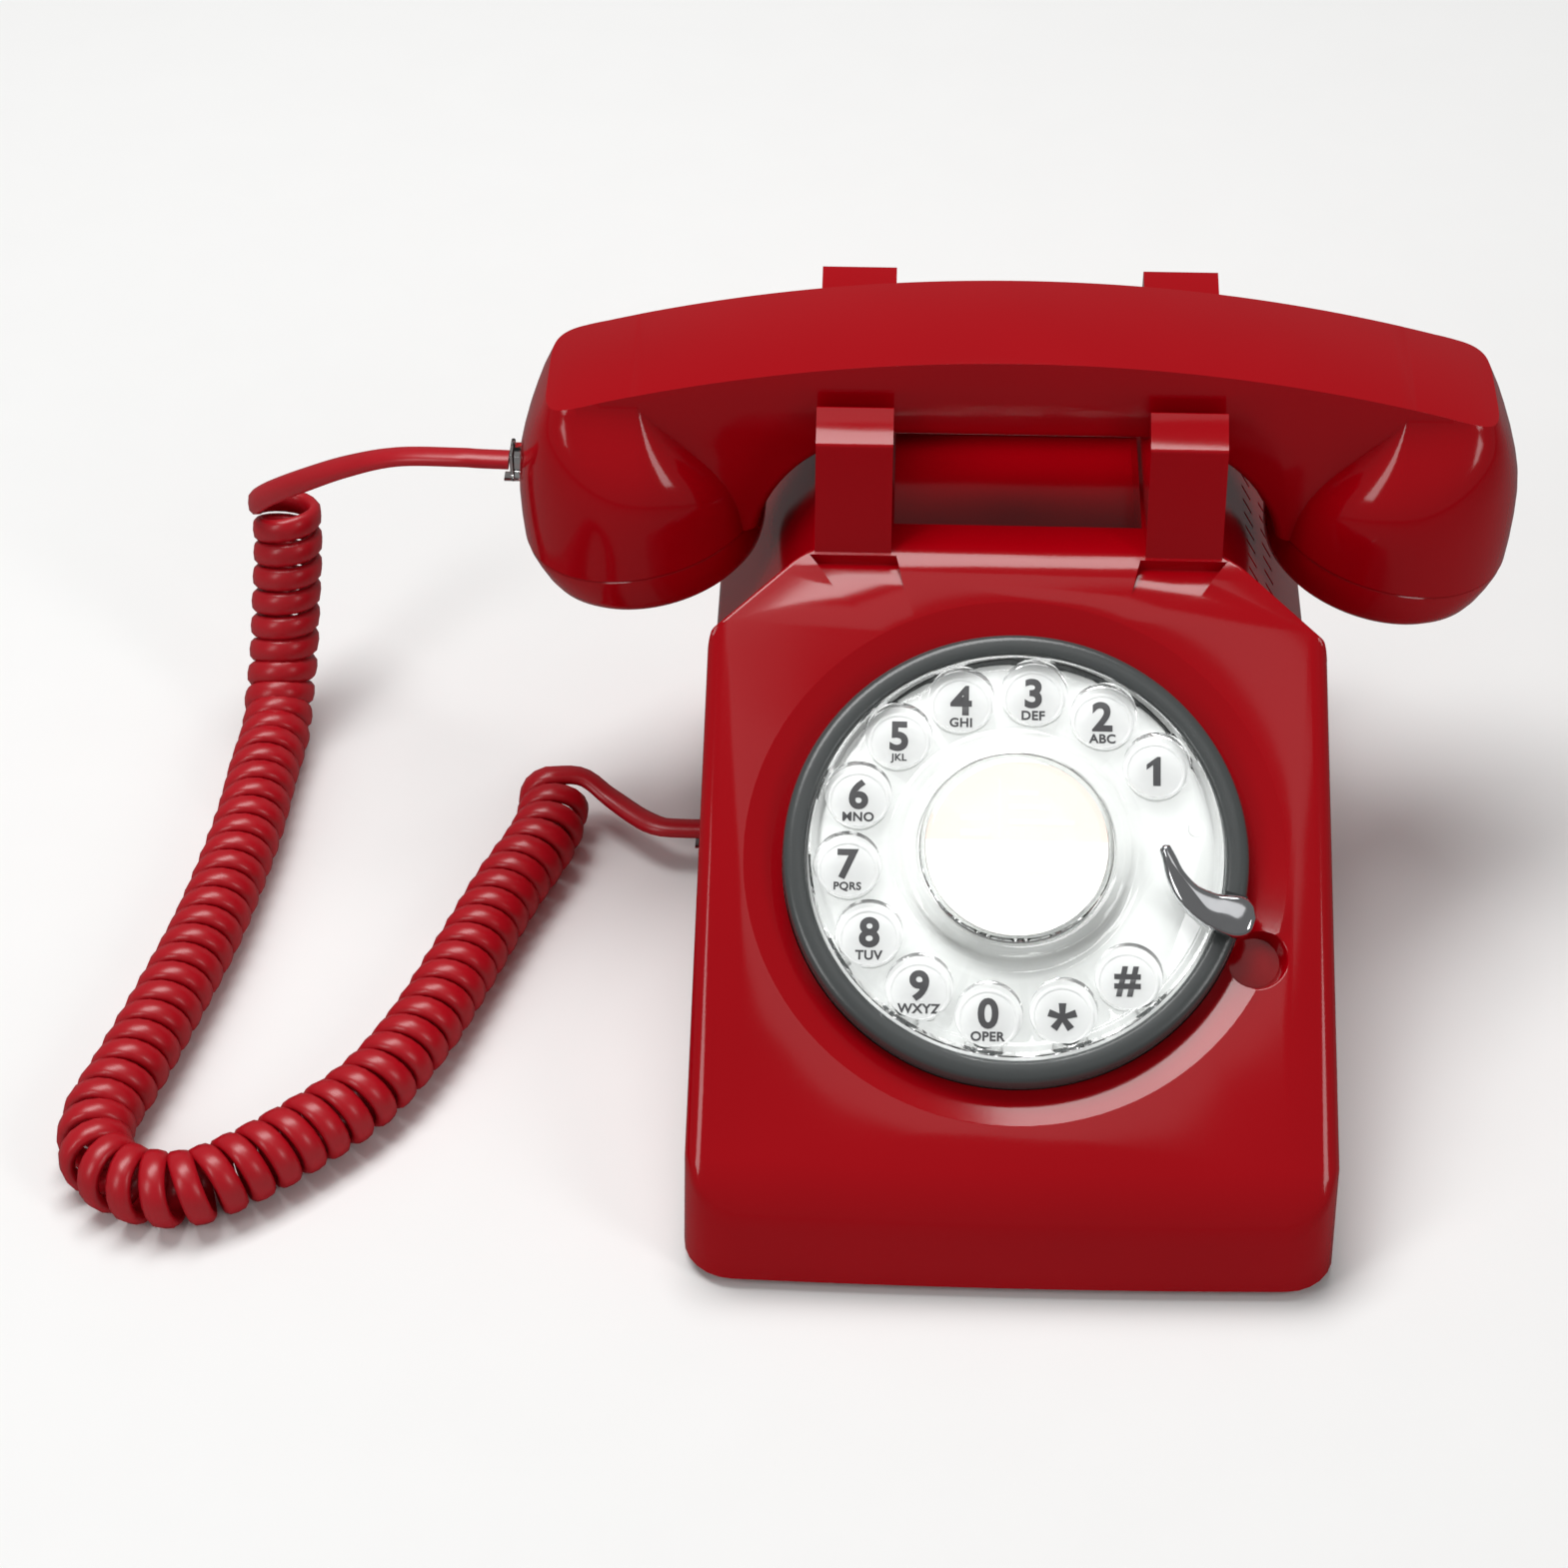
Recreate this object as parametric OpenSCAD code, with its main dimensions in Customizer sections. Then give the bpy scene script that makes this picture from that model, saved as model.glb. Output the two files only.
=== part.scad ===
// Desk telephone with a rotary dial, a lift-off handset and a curly handset cord.
// Millimetres, +Z up. The origin is on the table, under the middle of the telephone.
// The dial faces -Y and the handset lies along X.

/* [Body] */
// Width of the housing
body_w = 144; // [138:1:173]
// Depth of the housing, front to back
body_d = 210; // [200:1:252]
// Slope of the dial face, in degrees
face_slope = 31.4; // [28:0.2:34]
// Wall thickness of the housing
wall = 3; // [2.4:0.1:3.6]
// Height of the rubber feet
foot_h = 3; // [2:0.5:5]

/* [Dial] */
// Outer radius of the clear finger wheel
wheel_r = 46; // [43:0.2:47]
// Radius of each finger hole
hole_r = 7.5; // [6:0.1:7.8]
// Travel of the centre button
button_travel = 1.4; // [0.8:0.1:1.6]

/* [Handset] */
// Overall length of the handset
handset_l = 235; // [230:1:282]
// Width of the handle
handle_w = 33; // [28:1:36]
// Radius of the two round cups
cup_r = 29.5; // [26:0.5:31]

/* [Cord] */
// Outer diameter of the curly cord
coil_od = 17.6; // [15:0.2:18]
// Width of the flat cord
cord_w = 5.4; // [4:0.2:5.8]

/* [Hidden] */
$fn = 96;
red = "#a80012";
black = "#1c1c1f";
clear = "#e4e8ea";
steel = "#b4b7bb";
eps = 0.01;

// Housing outline, seen from the side.
front_y = -body_d / 2;
back_y = body_d / 2;
lip_y = front_y + 2.8;
lip_z = 25.5;
shoulder_y = 0.122 * body_d;
deck_z = lip_z + (shoulder_y - lip_y) * tan(face_slope);
rear_top_y = back_y - 8;
rear_low_z = 58;
corner_r = 9;

// Handset: both cups lean inwards, and the top of the bar is one long arc.
cup_lean = 11.5;
cup_x = handset_l / 2 - cup_r * cos(cup_lean) - 0.5;
cradle_y = shoulder_y + 36.38;
seam_z = deck_z - 14.5;
cap_h = 13;
bar_top_z = deck_z + 39.5;
bar_top_r = 365;
bar_low_z = deck_z + 18.5;
arch_r = 34;
arch_x = cup_x - 61;
saddle_gap = 0.1;

// Flanks that make room under the cups, and the horns of the cradle.
flank_lean = 28.4;
flank_x = cup_x - 30;
flank_z = seam_z - 7;
horn_x = 0.2625 * body_w;
horn_w = 17.5;
horn_front_y = cradle_y - handle_w / 2 - 18.5;
horn_back_y = cradle_y + handle_w / 2 + 16;
trough_w = 2 * (horn_x - horn_w / 2) - 1;

// Dial, in its own coordinates: x to the right, y up the face, z out of the face.
dial_up = 78.2;
dish_r = wheel_r + 14.7;
dish_depth = 5;
ring_r = wheel_r + 5.8;
ring_top = 4;
frame_top = -9;
frame_t = 2;
wheel_z = 3;
wheel_t = 3.2;
hole_count = 12;
hole_pitch = wheel_r - 8.6;
hole_step = 25.3;
first_hole = 33.7;
hub_ring_r = 25.8;
cap_r = 21.5;
button_z = 7.9;
shaft_r = 4;
shaft_bore = 1.6;
stem_r = 1.5;
shaft_low = -24;
gear_z = -17;
gear_t = 2.5;
tooth_m = 1.25;
gear_teeth = 48;
pinion_teeth = 12;
mesh_gap = 0.3;
governor_arm = tooth_m * (gear_teeth + pinion_teeth) / 2 + mesh_gap;
governor_angle = 200;
bridge_z = -32;
bridge_t = 1.5;
running = 0.05;

// Hook: two plungers between the horns, on one yoke, lift the lever of the switch.
plunger_r = 4;
plunger_top = bar_low_z - 3.6;
yoke_z = deck_z - 29;
lever_pin_y = cradle_y + 26;

// Cord. The points are placed for the default sizes; the plug and the socket carry their ends along.
base_socket_y = 31;
socket_z = 12;
handset_plug_x = -handset_l / 2;
handset_plug_z = seam_z + 12;
plug_shift = [handset_plug_x + 117.5, cradle_y - 62, handset_plug_z - 101];
socket_shift = [72 - body_w / 2, 0, 0];
lead_a_run = [[-127, 62, 101], [-131, 62, 101], [-140, 64, 102], [-150, 67, 99], [-160, 72, 94],
    [-169, 79, 87], [-177, 88, 79], [-181, 96, 70], [-182, 99, 58]];
coil_run = [[-182, 99, 58], [-182, 95, 47], [-183, 90, 34], [-184, 84, 21], [-185, 76, 12], [-185, 67, 9],
    [-186, 52, 9], [-187, 31, 9], [-191, -1, 9], [-197, -29, 9], [-203, -53, 9], [-207, -68, 9],
    [-205, -80, 9], [-196, -87, 9], [-184, -88, 9], [-173, -82, 9], [-160, -71, 9], [-147, -57, 9],
    [-137, -38, 9], [-129, -15, 9], [-121, 10, 9], [-114, 28, 9], [-112, 38, 9], [-112, 45, 9]];
lead_b_run = [[-112, 45, 9], [-112, 51, 9], [-109, 56, 8], [-104, 56, 8], [-99, 51, 8],
    [-94, 43, 9], [-90, 36, 11], [-86, 31, 12], [-79.5, 31, 12]];
lead_a = [for (p = lead_a_run) p + plug_shift * (p[2] - 9) / 92];
coil_path = [for (p = coil_run) p + plug_shift * (p[2] - 9) / 92];
lead_b = [for (i = [0:8]) lead_b_run[i] + socket_shift * i / 8];

function arch_z(x, gap) = bar_low_z - gap
    - (abs(x) > arch_x ? arch_r - sqrt(max(0, pow(arch_r, 2) - pow(abs(x) - arch_x, 2))) : 0);
function top_z(x) = bar_top_z - bar_top_r + sqrt(pow(bar_top_r, 2) - pow(x, 2));

// ---------- shared shapes ----------

// Puts children into the dial's coordinates: origin on the face, in the middle of the dial.
module at_dial() {
    translate([0, lip_y + dial_up * cos(face_slope), lip_z + dial_up * sin(face_slope)])
        rotate([face_slope, 0, 0]) children();
}

module tube(r_out, r_in, z0, z1) {
    translate([0, 0, z0]) difference() {
        cylinder(r = r_out, h = z1 - z0);
        translate([0, 0, -1]) cylinder(r = r_in, h = z1 - z0 + 2);
    }
}

module disc(r, z0, z1) {
    translate([0, 0, z0]) cylinder(r = r, h = z1 - z0);
}

module block(low, high) {
    translate(low) cube(high - low);
}

module round_plan(w, d, r) {
    square([w - 2 * r, d], center = true);
    square([w, d - 2 * r], center = true);
    for (x = [-1, 1], y = [-1, 1]) translate([x * (w / 2 - r), y * (d / 2 - r)]) circle(r = r);
}

// Extrudes a (y, z) outline along X, centred.
module along_x(w) {
    rotate([90, 0, 90]) translate([0, 0, -w / 2]) linear_extrude(w) children();
}

// Extrudes an (x, z) outline along Y between two places.
module along_y(y0, y1) {
    translate([0, y1, 0]) rotate([90, 0, 0]) linear_extrude(y1 - y0) children();
}

// A closed tube swept along a list of points, with its ends square to the run.
module swept(points, r, sides) {
    n = len(points);
    function unit(v) = v / norm(v);
    function heading(i) = unit(points[min(i + 1, n - 1)] - points[max(i - 1, 0)]);
    function side(i) = unit(cross(heading(i), [0, 0, 1]));
    function ring(i) = [for (k = [0:sides - 1]) points[i]
        + r * cos(360 * k / sides) * side(i) + r * sin(360 * k / sides) * cross(side(i), heading(i))];
    verts = [for (i = [0:n - 1]) each ring(i)];
    walls = [for (i = [0:n - 2], k = [0:sides - 1]) each
        [[i * sides + k, i * sides + (k + 1) % sides, (i + 1) * sides + (k + 1) % sides],
         [i * sides + k, (i + 1) * sides + (k + 1) % sides, (i + 1) * sides + k]]];
    ends = [[for (k = [sides - 1:-1:0]) k], [for (k = [0:sides - 1]) (n - 1) * sides + k]];
    polyhedron(verts, concat(walls, ends), convexity = 8);
}

// A spur gear with straight-sided teeth; a tooth points along +X when turn is 0.
module gear(teeth, turn) {
    pitch_r = tooth_m * teeth / 2;
    root_r = pitch_r - 1.15 * tooth_m;
    tip_r = pitch_r + 0.85 * tooth_m;
    step = 360 / teeth;
    rotate([0, 0, turn]) linear_extrude(gear_t) polygon([for (k = [0:teeth - 1]) each [
        root_r * [cos((k - 0.31) * step), sin((k - 0.31) * step)],
        tip_r * [cos((k - 0.1) * step), sin((k - 0.1) * step)],
        tip_r * [cos((k + 0.1) * step), sin((k + 0.1) * step)],
        root_r * [cos((k + 0.31) * step), sin((k + 0.31) * step)]]]);
}

// A cross-slotted screw, head up at z = 0.
module screw(r, head_r, length) {
    difference() {
        union() {
            disc(head_r, 0, 1.8);
            disc(r, -length, eps);
        }
        for (a = [0, 90]) rotate([0, 0, a]) translate([0, 0, 1.5]) cube([head_r * 1.3, 0.7, 1.2], center = true);
    }
}

// ---------- housing ----------

// Side outline of the housing, moved inwards by d and started at height z0.
module side_outline(d, z0) {
    front = lip_y + d;
    polygon([
        [front_y + d, z0],
        [front, lip_z + (front - lip_y) * tan(face_slope) - d / cos(face_slope)],
        [lip_y + (deck_z - d - lip_z + d / cos(face_slope)) / tan(face_slope), deck_z - d],
        [rear_top_y - d, deck_z - d],
        [back_y - d, rear_low_z],
        [back_y - d, z0]]);
}

// The wedge cut away on one flank, under a handset cup; d moves it into the body.
module flank_cut(side, d) {
    far = body_w;
    slide = d / cos(flank_lean);
    lean = tan(flank_lean);
    mirror([side < 0 ? 1 : 0, 0, 0]) intersection() {
        along_y(-body_d, body_d) polygon([
            [flank_x - slide + 120 * lean, flank_z - 120],
            [flank_x - slide - 60 * lean, flank_z + 60],
            [flank_x - slide + far, flank_z + 60]]);
        linear_extrude(4 * deck_z) polygon([
            [flank_x - 8 - d, shoulder_y - d],
            [flank_x + 18, shoulder_y - 20.6 - 1.3 * d],
            [flank_x + 18 + far, shoulder_y - 20.6 - 0.8 * far - 1.3 * d],
            [flank_x + far, 2 * body_d],
            [flank_x - 8 - d, 2 * body_d]]);
    }
}

module body_shape(d, z0) {
    difference() {
        intersection() {
            along_x(body_w - 2 * d) side_outline(d, z0);
            translate([0, 0, z0 - 1]) linear_extrude(2 * deck_z)
                round_plan(body_w - 2 * d, body_d - 2 * d, corner_r - d / 2);
        }
        for (s = [-1, 1]) flank_cut(s, d);
    }
}

// Hand hold between the horns, behind the face; d grows it downwards and sideways.
module trough(d) {
    block([-trough_w / 2 - d, horn_front_y + 9 - d, deck_z - 14 - d], [trough_w / 2 + d, horn_back_y - 3 + d, 2 * deck_z]);
}

// One pair of horns with the seat between them.
module horn_pair() {
    top = bar_low_z + 11.5;
    along_x(horn_w) polygon([
        [horn_front_y - 3, deck_z - 4],
        [horn_front_y + 2, top - 3],
        [horn_front_y + 5, top],
        [horn_front_y + 12, top],
        [cradle_y - handle_w / 2 - 0.4, top - 5],
        [cradle_y - handle_w / 2 - 0.4, bar_low_z],
        [cradle_y + handle_w / 2 + 0.4, bar_low_z],
        [cradle_y + handle_w / 2 + 0.4, top - 5],
        [horn_back_y - 10, top + 1],
        [horn_back_y - 3, top + 1],
        [horn_back_y, top - 3],
        [horn_back_y + 1, deck_z - 4]]);
}

// The room the handle needs above the seats.
module handle_room() {
    along_y(cradle_y - handle_w / 2 - 0.4, cradle_y + handle_w / 2 + 0.4) polygon(concat(
        [for (x = [-56:1:56]) [x, arch_z(x, saddle_gap)]],
        [[56, 2 * deck_z], [-56, 2 * deck_z]]));
}

module horn_hollow() {
    inner = horn_w / 2 - 3;
    block([-inner, horn_front_y + 5, deck_z - 8], [inner, horn_back_y - 4, bar_low_z - 12]);
    block([-inner, horn_front_y + 5, deck_z - 8], [inner, horn_front_y + 12, bar_low_z + 6]);
    block([-inner, horn_back_y - 10, deck_z - 8], [inner, horn_back_y - 4, bar_low_z + 6]);
}

module housing() {
    color(red) difference() {
        union() {
            difference() {
                body_shape(0, foot_h);
                difference() {
                    body_shape(wall, foot_h - 2);
                    trough(wall);
                    at_dial() disc(dish_r + 3, frame_top, 0);
                    for (x = [-1, 1], y = [-1, 1]) translate([x * (body_w / 2 - 6.5), y * (body_d / 2 - 17), 5.5])
                        cylinder(r = 4.5, h = 17);
                }
            }
            for (s = [-1, 1]) translate([s * horn_x, 0, 0]) horn_pair();
        }
        for (s = [-1, 1]) translate([s * horn_x, 0, 0]) {
            horn_hollow();
            translate([0, cradle_y, deck_z - 20]) cylinder(r = plunger_r + running, h = 60);
        }
        handle_room();
        trough(0);
        at_dial() {
            disc(ring_r + 0.2, frame_top - 20, 5);
            translate([0, 0, -dish_depth])
                cylinder(r1 = ring_r + 0.2, r2 = ring_r + 0.2 + 1.2 * (dish_r - ring_r - 0.2), h = 1.2 * dish_depth);
            for (a = [90, 210, 330]) rotate([0, 0, a]) translate([ring_r + 4, 0, -9.5]) cylinder(r = 1.2, h = 5);
            rotate([0, 0, -22]) translate([dish_r - 3, 0, 0.7 - dish_depth]) cylinder(r = 7, h = 20);
        }
        for (x = [-1, 1], y = [-1, 1]) translate([x * (body_w / 2 - 6.5), y * (body_d / 2 - 17), 0])
            cylinder(r = 1.5, h = 18);
        block([-body_w, base_socket_y - 6, socket_z - 6], [-body_w / 2 + wall + 1, base_socket_y + 6, socket_z + 6]);
        block([33, back_y - wall - 1, 9], [47, back_y + 1, 23]);
        for (k = [0:2]) translate([flank_x + 6 + 4 * k, shoulder_y + 14, flank_z - 12 - 7 * k]) rotate([0, -flank_lean, 0])
            cube([14, 12, 1.6], center = true);
    }
}

// ---------- base ----------

module base_plate() {
    color(black) difference() {
        translate([0, 0, foot_h]) linear_extrude(2.5) round_plan(body_w - 2 * wall - 0.4, body_d - 2 * wall - 1.6, 7.5);
        for (x = [-1, 1], y = [-1, 1]) translate([x * (body_w / 2 - 6.5), y * (body_d / 2 - 17), 0])
            cylinder(r = 1.7, h = 10);
        for (x = [-20:5:20]) block([x - 1, cradle_y - 17, 0], [x + 1, cradle_y + 17, 10]);
    }
    color(black) for (x = [-50, 50], y = [-45, 15]) translate([x, y, 0]) tube(3.5, 1.2, foot_h + 2.5, 14);
}

module rubber_feet() {
    for (x = [-1, 1], y = [-1, 1]) color(black)
        translate([x * (body_w / 2 - 22), y * (body_d / 2 - 24), 0]) cylinder(r1 = 8, r2 = 9, h = foot_h);
}

module base_screws() {
    color(steel) for (x = [-1, 1], y = [-1, 1])
        translate([x * (body_w / 2 - 6.5), y * (body_d / 2 - 17), foot_h]) mirror([0, 0, 1]) screw(1.5, 3, 12);
}

module ballast_weight() {
    color(steel) block([-40, front_y + 16, foot_h + 2.5], [40, front_y + 46, foot_h + 8.5]);
}

module circuit_board() {
    color("#1d5a35") difference() {
        block([-56, -52, 14], [56, 22, 15.6]);
        for (x = [-50, 50], y = [-45, 15]) translate([x, y, 0]) cylinder(r = 1.3, h = 30);
    }
    color(black) {
        block([-30, -30, 15.6], [-12, -12, 18]);
        block([8, -36, 15.6], [28, -26, 19]);
        for (x = [-2, 12, 26]) translate([x, 4, 0]) disc(4, 15.6, 26);
    }
}

module board_screws() {
    color(steel) for (x = [-50, 50], y = [-45, 15]) translate([x, y, 15.6]) screw(1.15, 2.4, 7);
}

// A modular socket: a box with an open mouth on +Z.
module modular_socket(w, h, depth) {
    difference() {
        block([-w / 2, -h / 2, -depth], [w / 2, h / 2, 0]);
        block([-w / 2 + 1.5, -h / 2 + 1.5, -depth + 2], [w / 2 - 1.5, h / 2 - 1.5, 1]);
    }
}

module line_socket() {
    color(black) translate([40, back_y - 0.6, 16]) rotate([-90, 0, 0]) modular_socket(13.6, 13.6, 16);
}

module base_socket() {
    color(black) translate([-body_w / 2 + 0.6, base_socket_y, socket_z]) rotate([0, -90, 0]) modular_socket(11.6, 11.6, 16);
}

module loudspeaker() {
    color(steel) translate([0, cradle_y, 0]) {
        tube(29, 25.5, foot_h + 2.5, 9);
        disc(14, 16, 24);
        difference() {
            translate([0, 0, 9]) cylinder(r1 = 29, r2 = 15, h = 7);
            translate([0, 0, 8.99]) cylinder(r1 = 27.5, r2 = 13.5, h = 7.02);
            for (a = [0:60:120]) rotate([0, 0, a]) block([-40, -4, 10], [40, 4, 14]);
        }
    }
}

module speaker_cone() {
    color(black) translate([0, cradle_y, 0]) difference() {
        translate([0, 0, 6.2]) cylinder(r1 = 25.4, r2 = 9, h = 9.7);
        translate([0, 0, 6.19]) cylinder(r1 = 24.6, r2 = 8.2, h = 8.6);
    }
}

// ---------- hook ----------

module hook_bracket() {
    floor_z = yoke_z - 16;
    color(steel) difference() {
        union() {
            block([-14, lever_pin_y - 22, floor_z], [14, lever_pin_y + 6, floor_z + 1.5]);
            for (x = [-14, 12.5]) block([x, lever_pin_y - 5, floor_z], [x + 1.5, lever_pin_y + 6, yoke_z - 2]);
            block([-14, lever_pin_y + 4.5, floor_z], [14, lever_pin_y + 6, deck_z - 14 - wall]);
        }
        translate([-20, lever_pin_y, yoke_z - 6]) rotate([0, 90, 0]) cylinder(r = 1.5, h = 40);
    }
}

module hook_pin() {
    color(steel) translate([-15, lever_pin_y, yoke_z - 6]) rotate([0, 90, 0]) cylinder(r = 1.5, h = 30);
}

module hook_switch() {
    color(black) block([-5, lever_pin_y - 18, yoke_z - 14.5], [5, lever_pin_y - 8, yoke_z - 8]);
}

module hook_plungers() {
    color("white") for (s = [-1, 1]) translate([s * horn_x, cradle_y, 0]) {
        disc(plunger_r, yoke_z, plunger_top - 1);
        translate([0, 0, plunger_top - 1 - eps]) cylinder(r1 = plunger_r, r2 = plunger_r - 1.2, h = 1);
        disc(plunger_r + 2.5, yoke_z, yoke_z + 2);
    }
}

module hook_yoke() {
    color(steel) block([-horn_x - 6, cradle_y - 5, yoke_z - 2], [horn_x + 6, cradle_y + 5, yoke_z]);
}

module hook_lever() {
    color(steel) difference() {
        union() {
            block([-4, cradle_y - 3, yoke_z - 3.8], [4, lever_pin_y, yoke_z - 2.3]);
            block([-4, lever_pin_y - 3, yoke_z - 8], [4, lever_pin_y + 3, yoke_z - 2.3]);
        }
        translate([-20, lever_pin_y, yoke_z - 6]) rotate([0, 90, 0]) cylinder(r = 1.5 + running, h = 40);
    }
}

// ---------- fixed dial parts ----------

module dial_ring() {
    color(black) at_dial() difference() {
        union() {
            tube(ring_r, wheel_r - 5, frame_top, -1.2);
            tube(ring_r, wheel_r + 0.6, -1.3, ring_top);
        }
    }
}

module number_plate() {
    color("white") at_dial() tube(wheel_r + 0.5, 9, -1.2, 0);
}

// The hooked chrome stop, over the wheel.
module finger_stop() {
    color(steel) at_dial() translate([0, 0, wheel_z + wheel_t + 1]) linear_extrude(1.8) {
        hull() {
            translate([wheel_r - 12.6, 3]) circle(r = 1.6, $fn = 32);
            translate([wheel_r - 9, -3.5]) circle(r = 3, $fn = 32);
        }
        hull() {
            translate([wheel_r - 9, -3.5]) circle(r = 3, $fn = 32);
            translate([wheel_r - 3, -9]) circle(r = 3.6, $fn = 32);
        }
        hull() {
            translate([wheel_r - 3, -9]) circle(r = 3.6, $fn = 32);
            translate([wheel_r + 4, -12.5]) circle(r = 5.4, $fn = 32);
        }
    }
}

module finger_stop_foot() {
    color(black) at_dial() rotate([0, 0, -15]) intersection() {
        tube(ring_r, wheel_r + 0.8, ring_top, wheel_z + wheel_t + 1);
        block([0, -5, 0], [100, 4, 20]);
    }
}

module dial_frame() {
    color(steel) at_dial() difference() {
        disc(ring_r + 7, frame_top - frame_t, frame_top);
        disc(6.5, -20, 0);
        for (a = [90, 210, 330]) rotate([0, 0, a]) translate([ring_r + 4, 0, -20]) cylinder(r = 1.3, h = 20);
        rotate([0, 0, governor_angle]) translate([governor_arm, 0, -20]) cylinder(r = 1.5 + running, h = 20);
    }
}

module dial_frame_screws() {
    color(steel) at_dial() for (a = [90, 210, 330]) rotate([0, 0, a])
        translate([ring_r + 4, 0, frame_top - frame_t]) mirror([0, 0, 1]) screw(1.15, 2.4, 5.5);
}

module dial_bearing() {
    color("#b08d3c") at_dial() {
        tube(6.5, shaft_r + running, -14, -2.5);
        tube(8, shaft_r + running, -2.5, -1.8);
    }
}

// The plate that carries the lower ends of the governor and of the button, on four legs.
module mechanism_bridge() {
    low = bridge_z;
    color(steel) at_dial() difference() {
        union() {
            block([-54, -16, low], [36, 10, low + bridge_t]);
            for (x = [-54, 34], y = [-16, 4]) block([x, y, low], [x + 2, y + 6, frame_top - frame_t]);
        }
        rotate([0, 0, governor_angle]) translate([governor_arm, 0, low - 1]) cylinder(r = 1.5 + running, h = 5);
    }
}

// Flat spiral that brings the wheel back; its outer end is held by a post on the bridge.
module return_spring() {
    turns = 4.5;
    steps = 108;
    t = 0.6;
    function r(a) = shaft_r + 0.6 + a / 360 * 2.2;
    function at(k, d) = let (a = 360 * turns * k / steps) (r(a) + d) * [cos(a), sin(a)];
    color(steel) at_dial() {
        translate([0, 0, shaft_low + 1.2]) linear_extrude(4) polygon(concat(
            [for (k = [0:steps]) at(k, 0)], [for (k = [steps:-1:0]) at(k, t)]));
        translate([-(r(360 * turns) + 1.3), 0, 0]) disc(1.2, bridge_z + bridge_t, shaft_low + 5.2);
    }
}

module pulse_contacts() {
    color(black) at_dial() {
        block([22, 24, frame_top - frame_t - 3], [32, 36, frame_top - frame_t]);
        for (x = [23, 27, 31]) block([x - 0.3, 12, frame_top - frame_t - 2.6], [x + 0.3, 24, frame_top - frame_t - 0.4]);
    }
}

module governor_cup() {
    color(steel) at_dial() rotate([0, 0, governor_angle]) translate([governor_arm, 0, 0])
        tube(12, 11, bridge_z + bridge_t, bridge_z + 9);
}

module button_switch() {
    color(black) at_dial() block([-2.6, -2.6, bridge_z + bridge_t], [2.6, 2.6, -28.6]);
}

// ---------- parts that turn ----------

module finger_wheel() {
    color(clear, 0.5) at_dial() difference() {
        union() {
            disc(wheel_r, wheel_z, wheel_z + wheel_t);
            tube(hub_ring_r, cap_r + 0.4, wheel_z + wheel_t - eps, wheel_z + wheel_t + 3.3);
        }
        disc(shaft_r, -5, 20);
        for (k = [0:hole_count - 1]) rotate([0, 0, first_hole + k * hole_step])
            translate([hole_pitch, 0, 0]) cylinder(r = hole_r, h = 20);
    }
}

module wheel_hub() {
    color("#b08d3c") at_dial() tube(8, shaft_r, -1.5, wheel_z);
}

module dial_shaft() {
    color(steel) at_dial() tube(shaft_r, shaft_bore, shaft_low, wheel_z + wheel_t);
}

module drive_gear() {
    color("#b08d3c") at_dial() difference() {
        translate([0, 0, gear_z]) gear(gear_teeth, governor_angle);
        disc(shaft_r, -30, 0);
        for (a = [0:60:300]) rotate([0, 0, a]) translate([18, 0, -30]) cylinder(r = 6, h = 30);
    }
}

module governor_shaft() {
    color(steel) at_dial() rotate([0, 0, governor_angle]) translate([governor_arm, 0, 0])
        disc(1.5, bridge_z + 0.2, frame_top - 0.4);
}

module governor_pinion() {
    color("white") at_dial() rotate([0, 0, governor_angle]) translate([governor_arm, 0, 0]) difference() {
        translate([0, 0, gear_z]) gear(pinion_teeth, 180 + 180 / pinion_teeth);
        disc(1.5, -30, 0);
    }
}

module governor_weights() {
    color("#b08d3c") at_dial() rotate([0, 0, governor_angle]) translate([governor_arm, 0, 0]) {
        tube(3, 1.5, bridge_z + 3, bridge_z + 8);
        for (a = [0, 180]) rotate([0, 0, a]) intersection() {
            tube(10.5, 7, bridge_z + 3.4, bridge_z + 7.6);
            block([0, -8, -40], [20, 8, 0]);
        }
        difference() {
            block([-7.5, -1, bridge_z + 5], [7.5, 1, bridge_z + 6]);
            disc(2.5, -40, 0);
        }
    }
}

// ---------- centre button ----------

module button_cap() {
    color(clear, 0.5) at_dial() difference() {
        union() {
            disc(cap_r, button_z, button_z + 2.6);
            translate([0, 0, button_z + 2.6 - eps]) cylinder(r1 = cap_r, r2 = cap_r - 1, h = 1);
        }
        disc(cap_r - 1.3, button_z - 1, button_z + 2);
    }
}

module label_card() {
    color("white") at_dial() disc(cap_r - 1.5, button_z + 1.7, button_z + 2);
}

module button_carrier() {
    color("white") at_dial() {
        disc(cap_r - 1.5, button_z, button_z + 1.7);
        disc(stem_r, -27, button_z + eps);
        disc(2.4, -25.4, -24.5);
    }
}

module button_spring() {
    color(steel) at_dial() for (z = [-29.9, -28.4, -26.9])
        translate([0, 0, z]) rotate_extrude() translate([4.4, 0]) circle(r = 0.4, $fn = 24);
}

// ---------- handset ----------

// Puts children on a cup's axis: z = 0 on the seam, +Z up into the handset.
module at_cup(side) {
    translate([side * cup_x, cradle_y, seam_z]) rotate([0, side * cup_lean, 0]) children();
}

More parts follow.
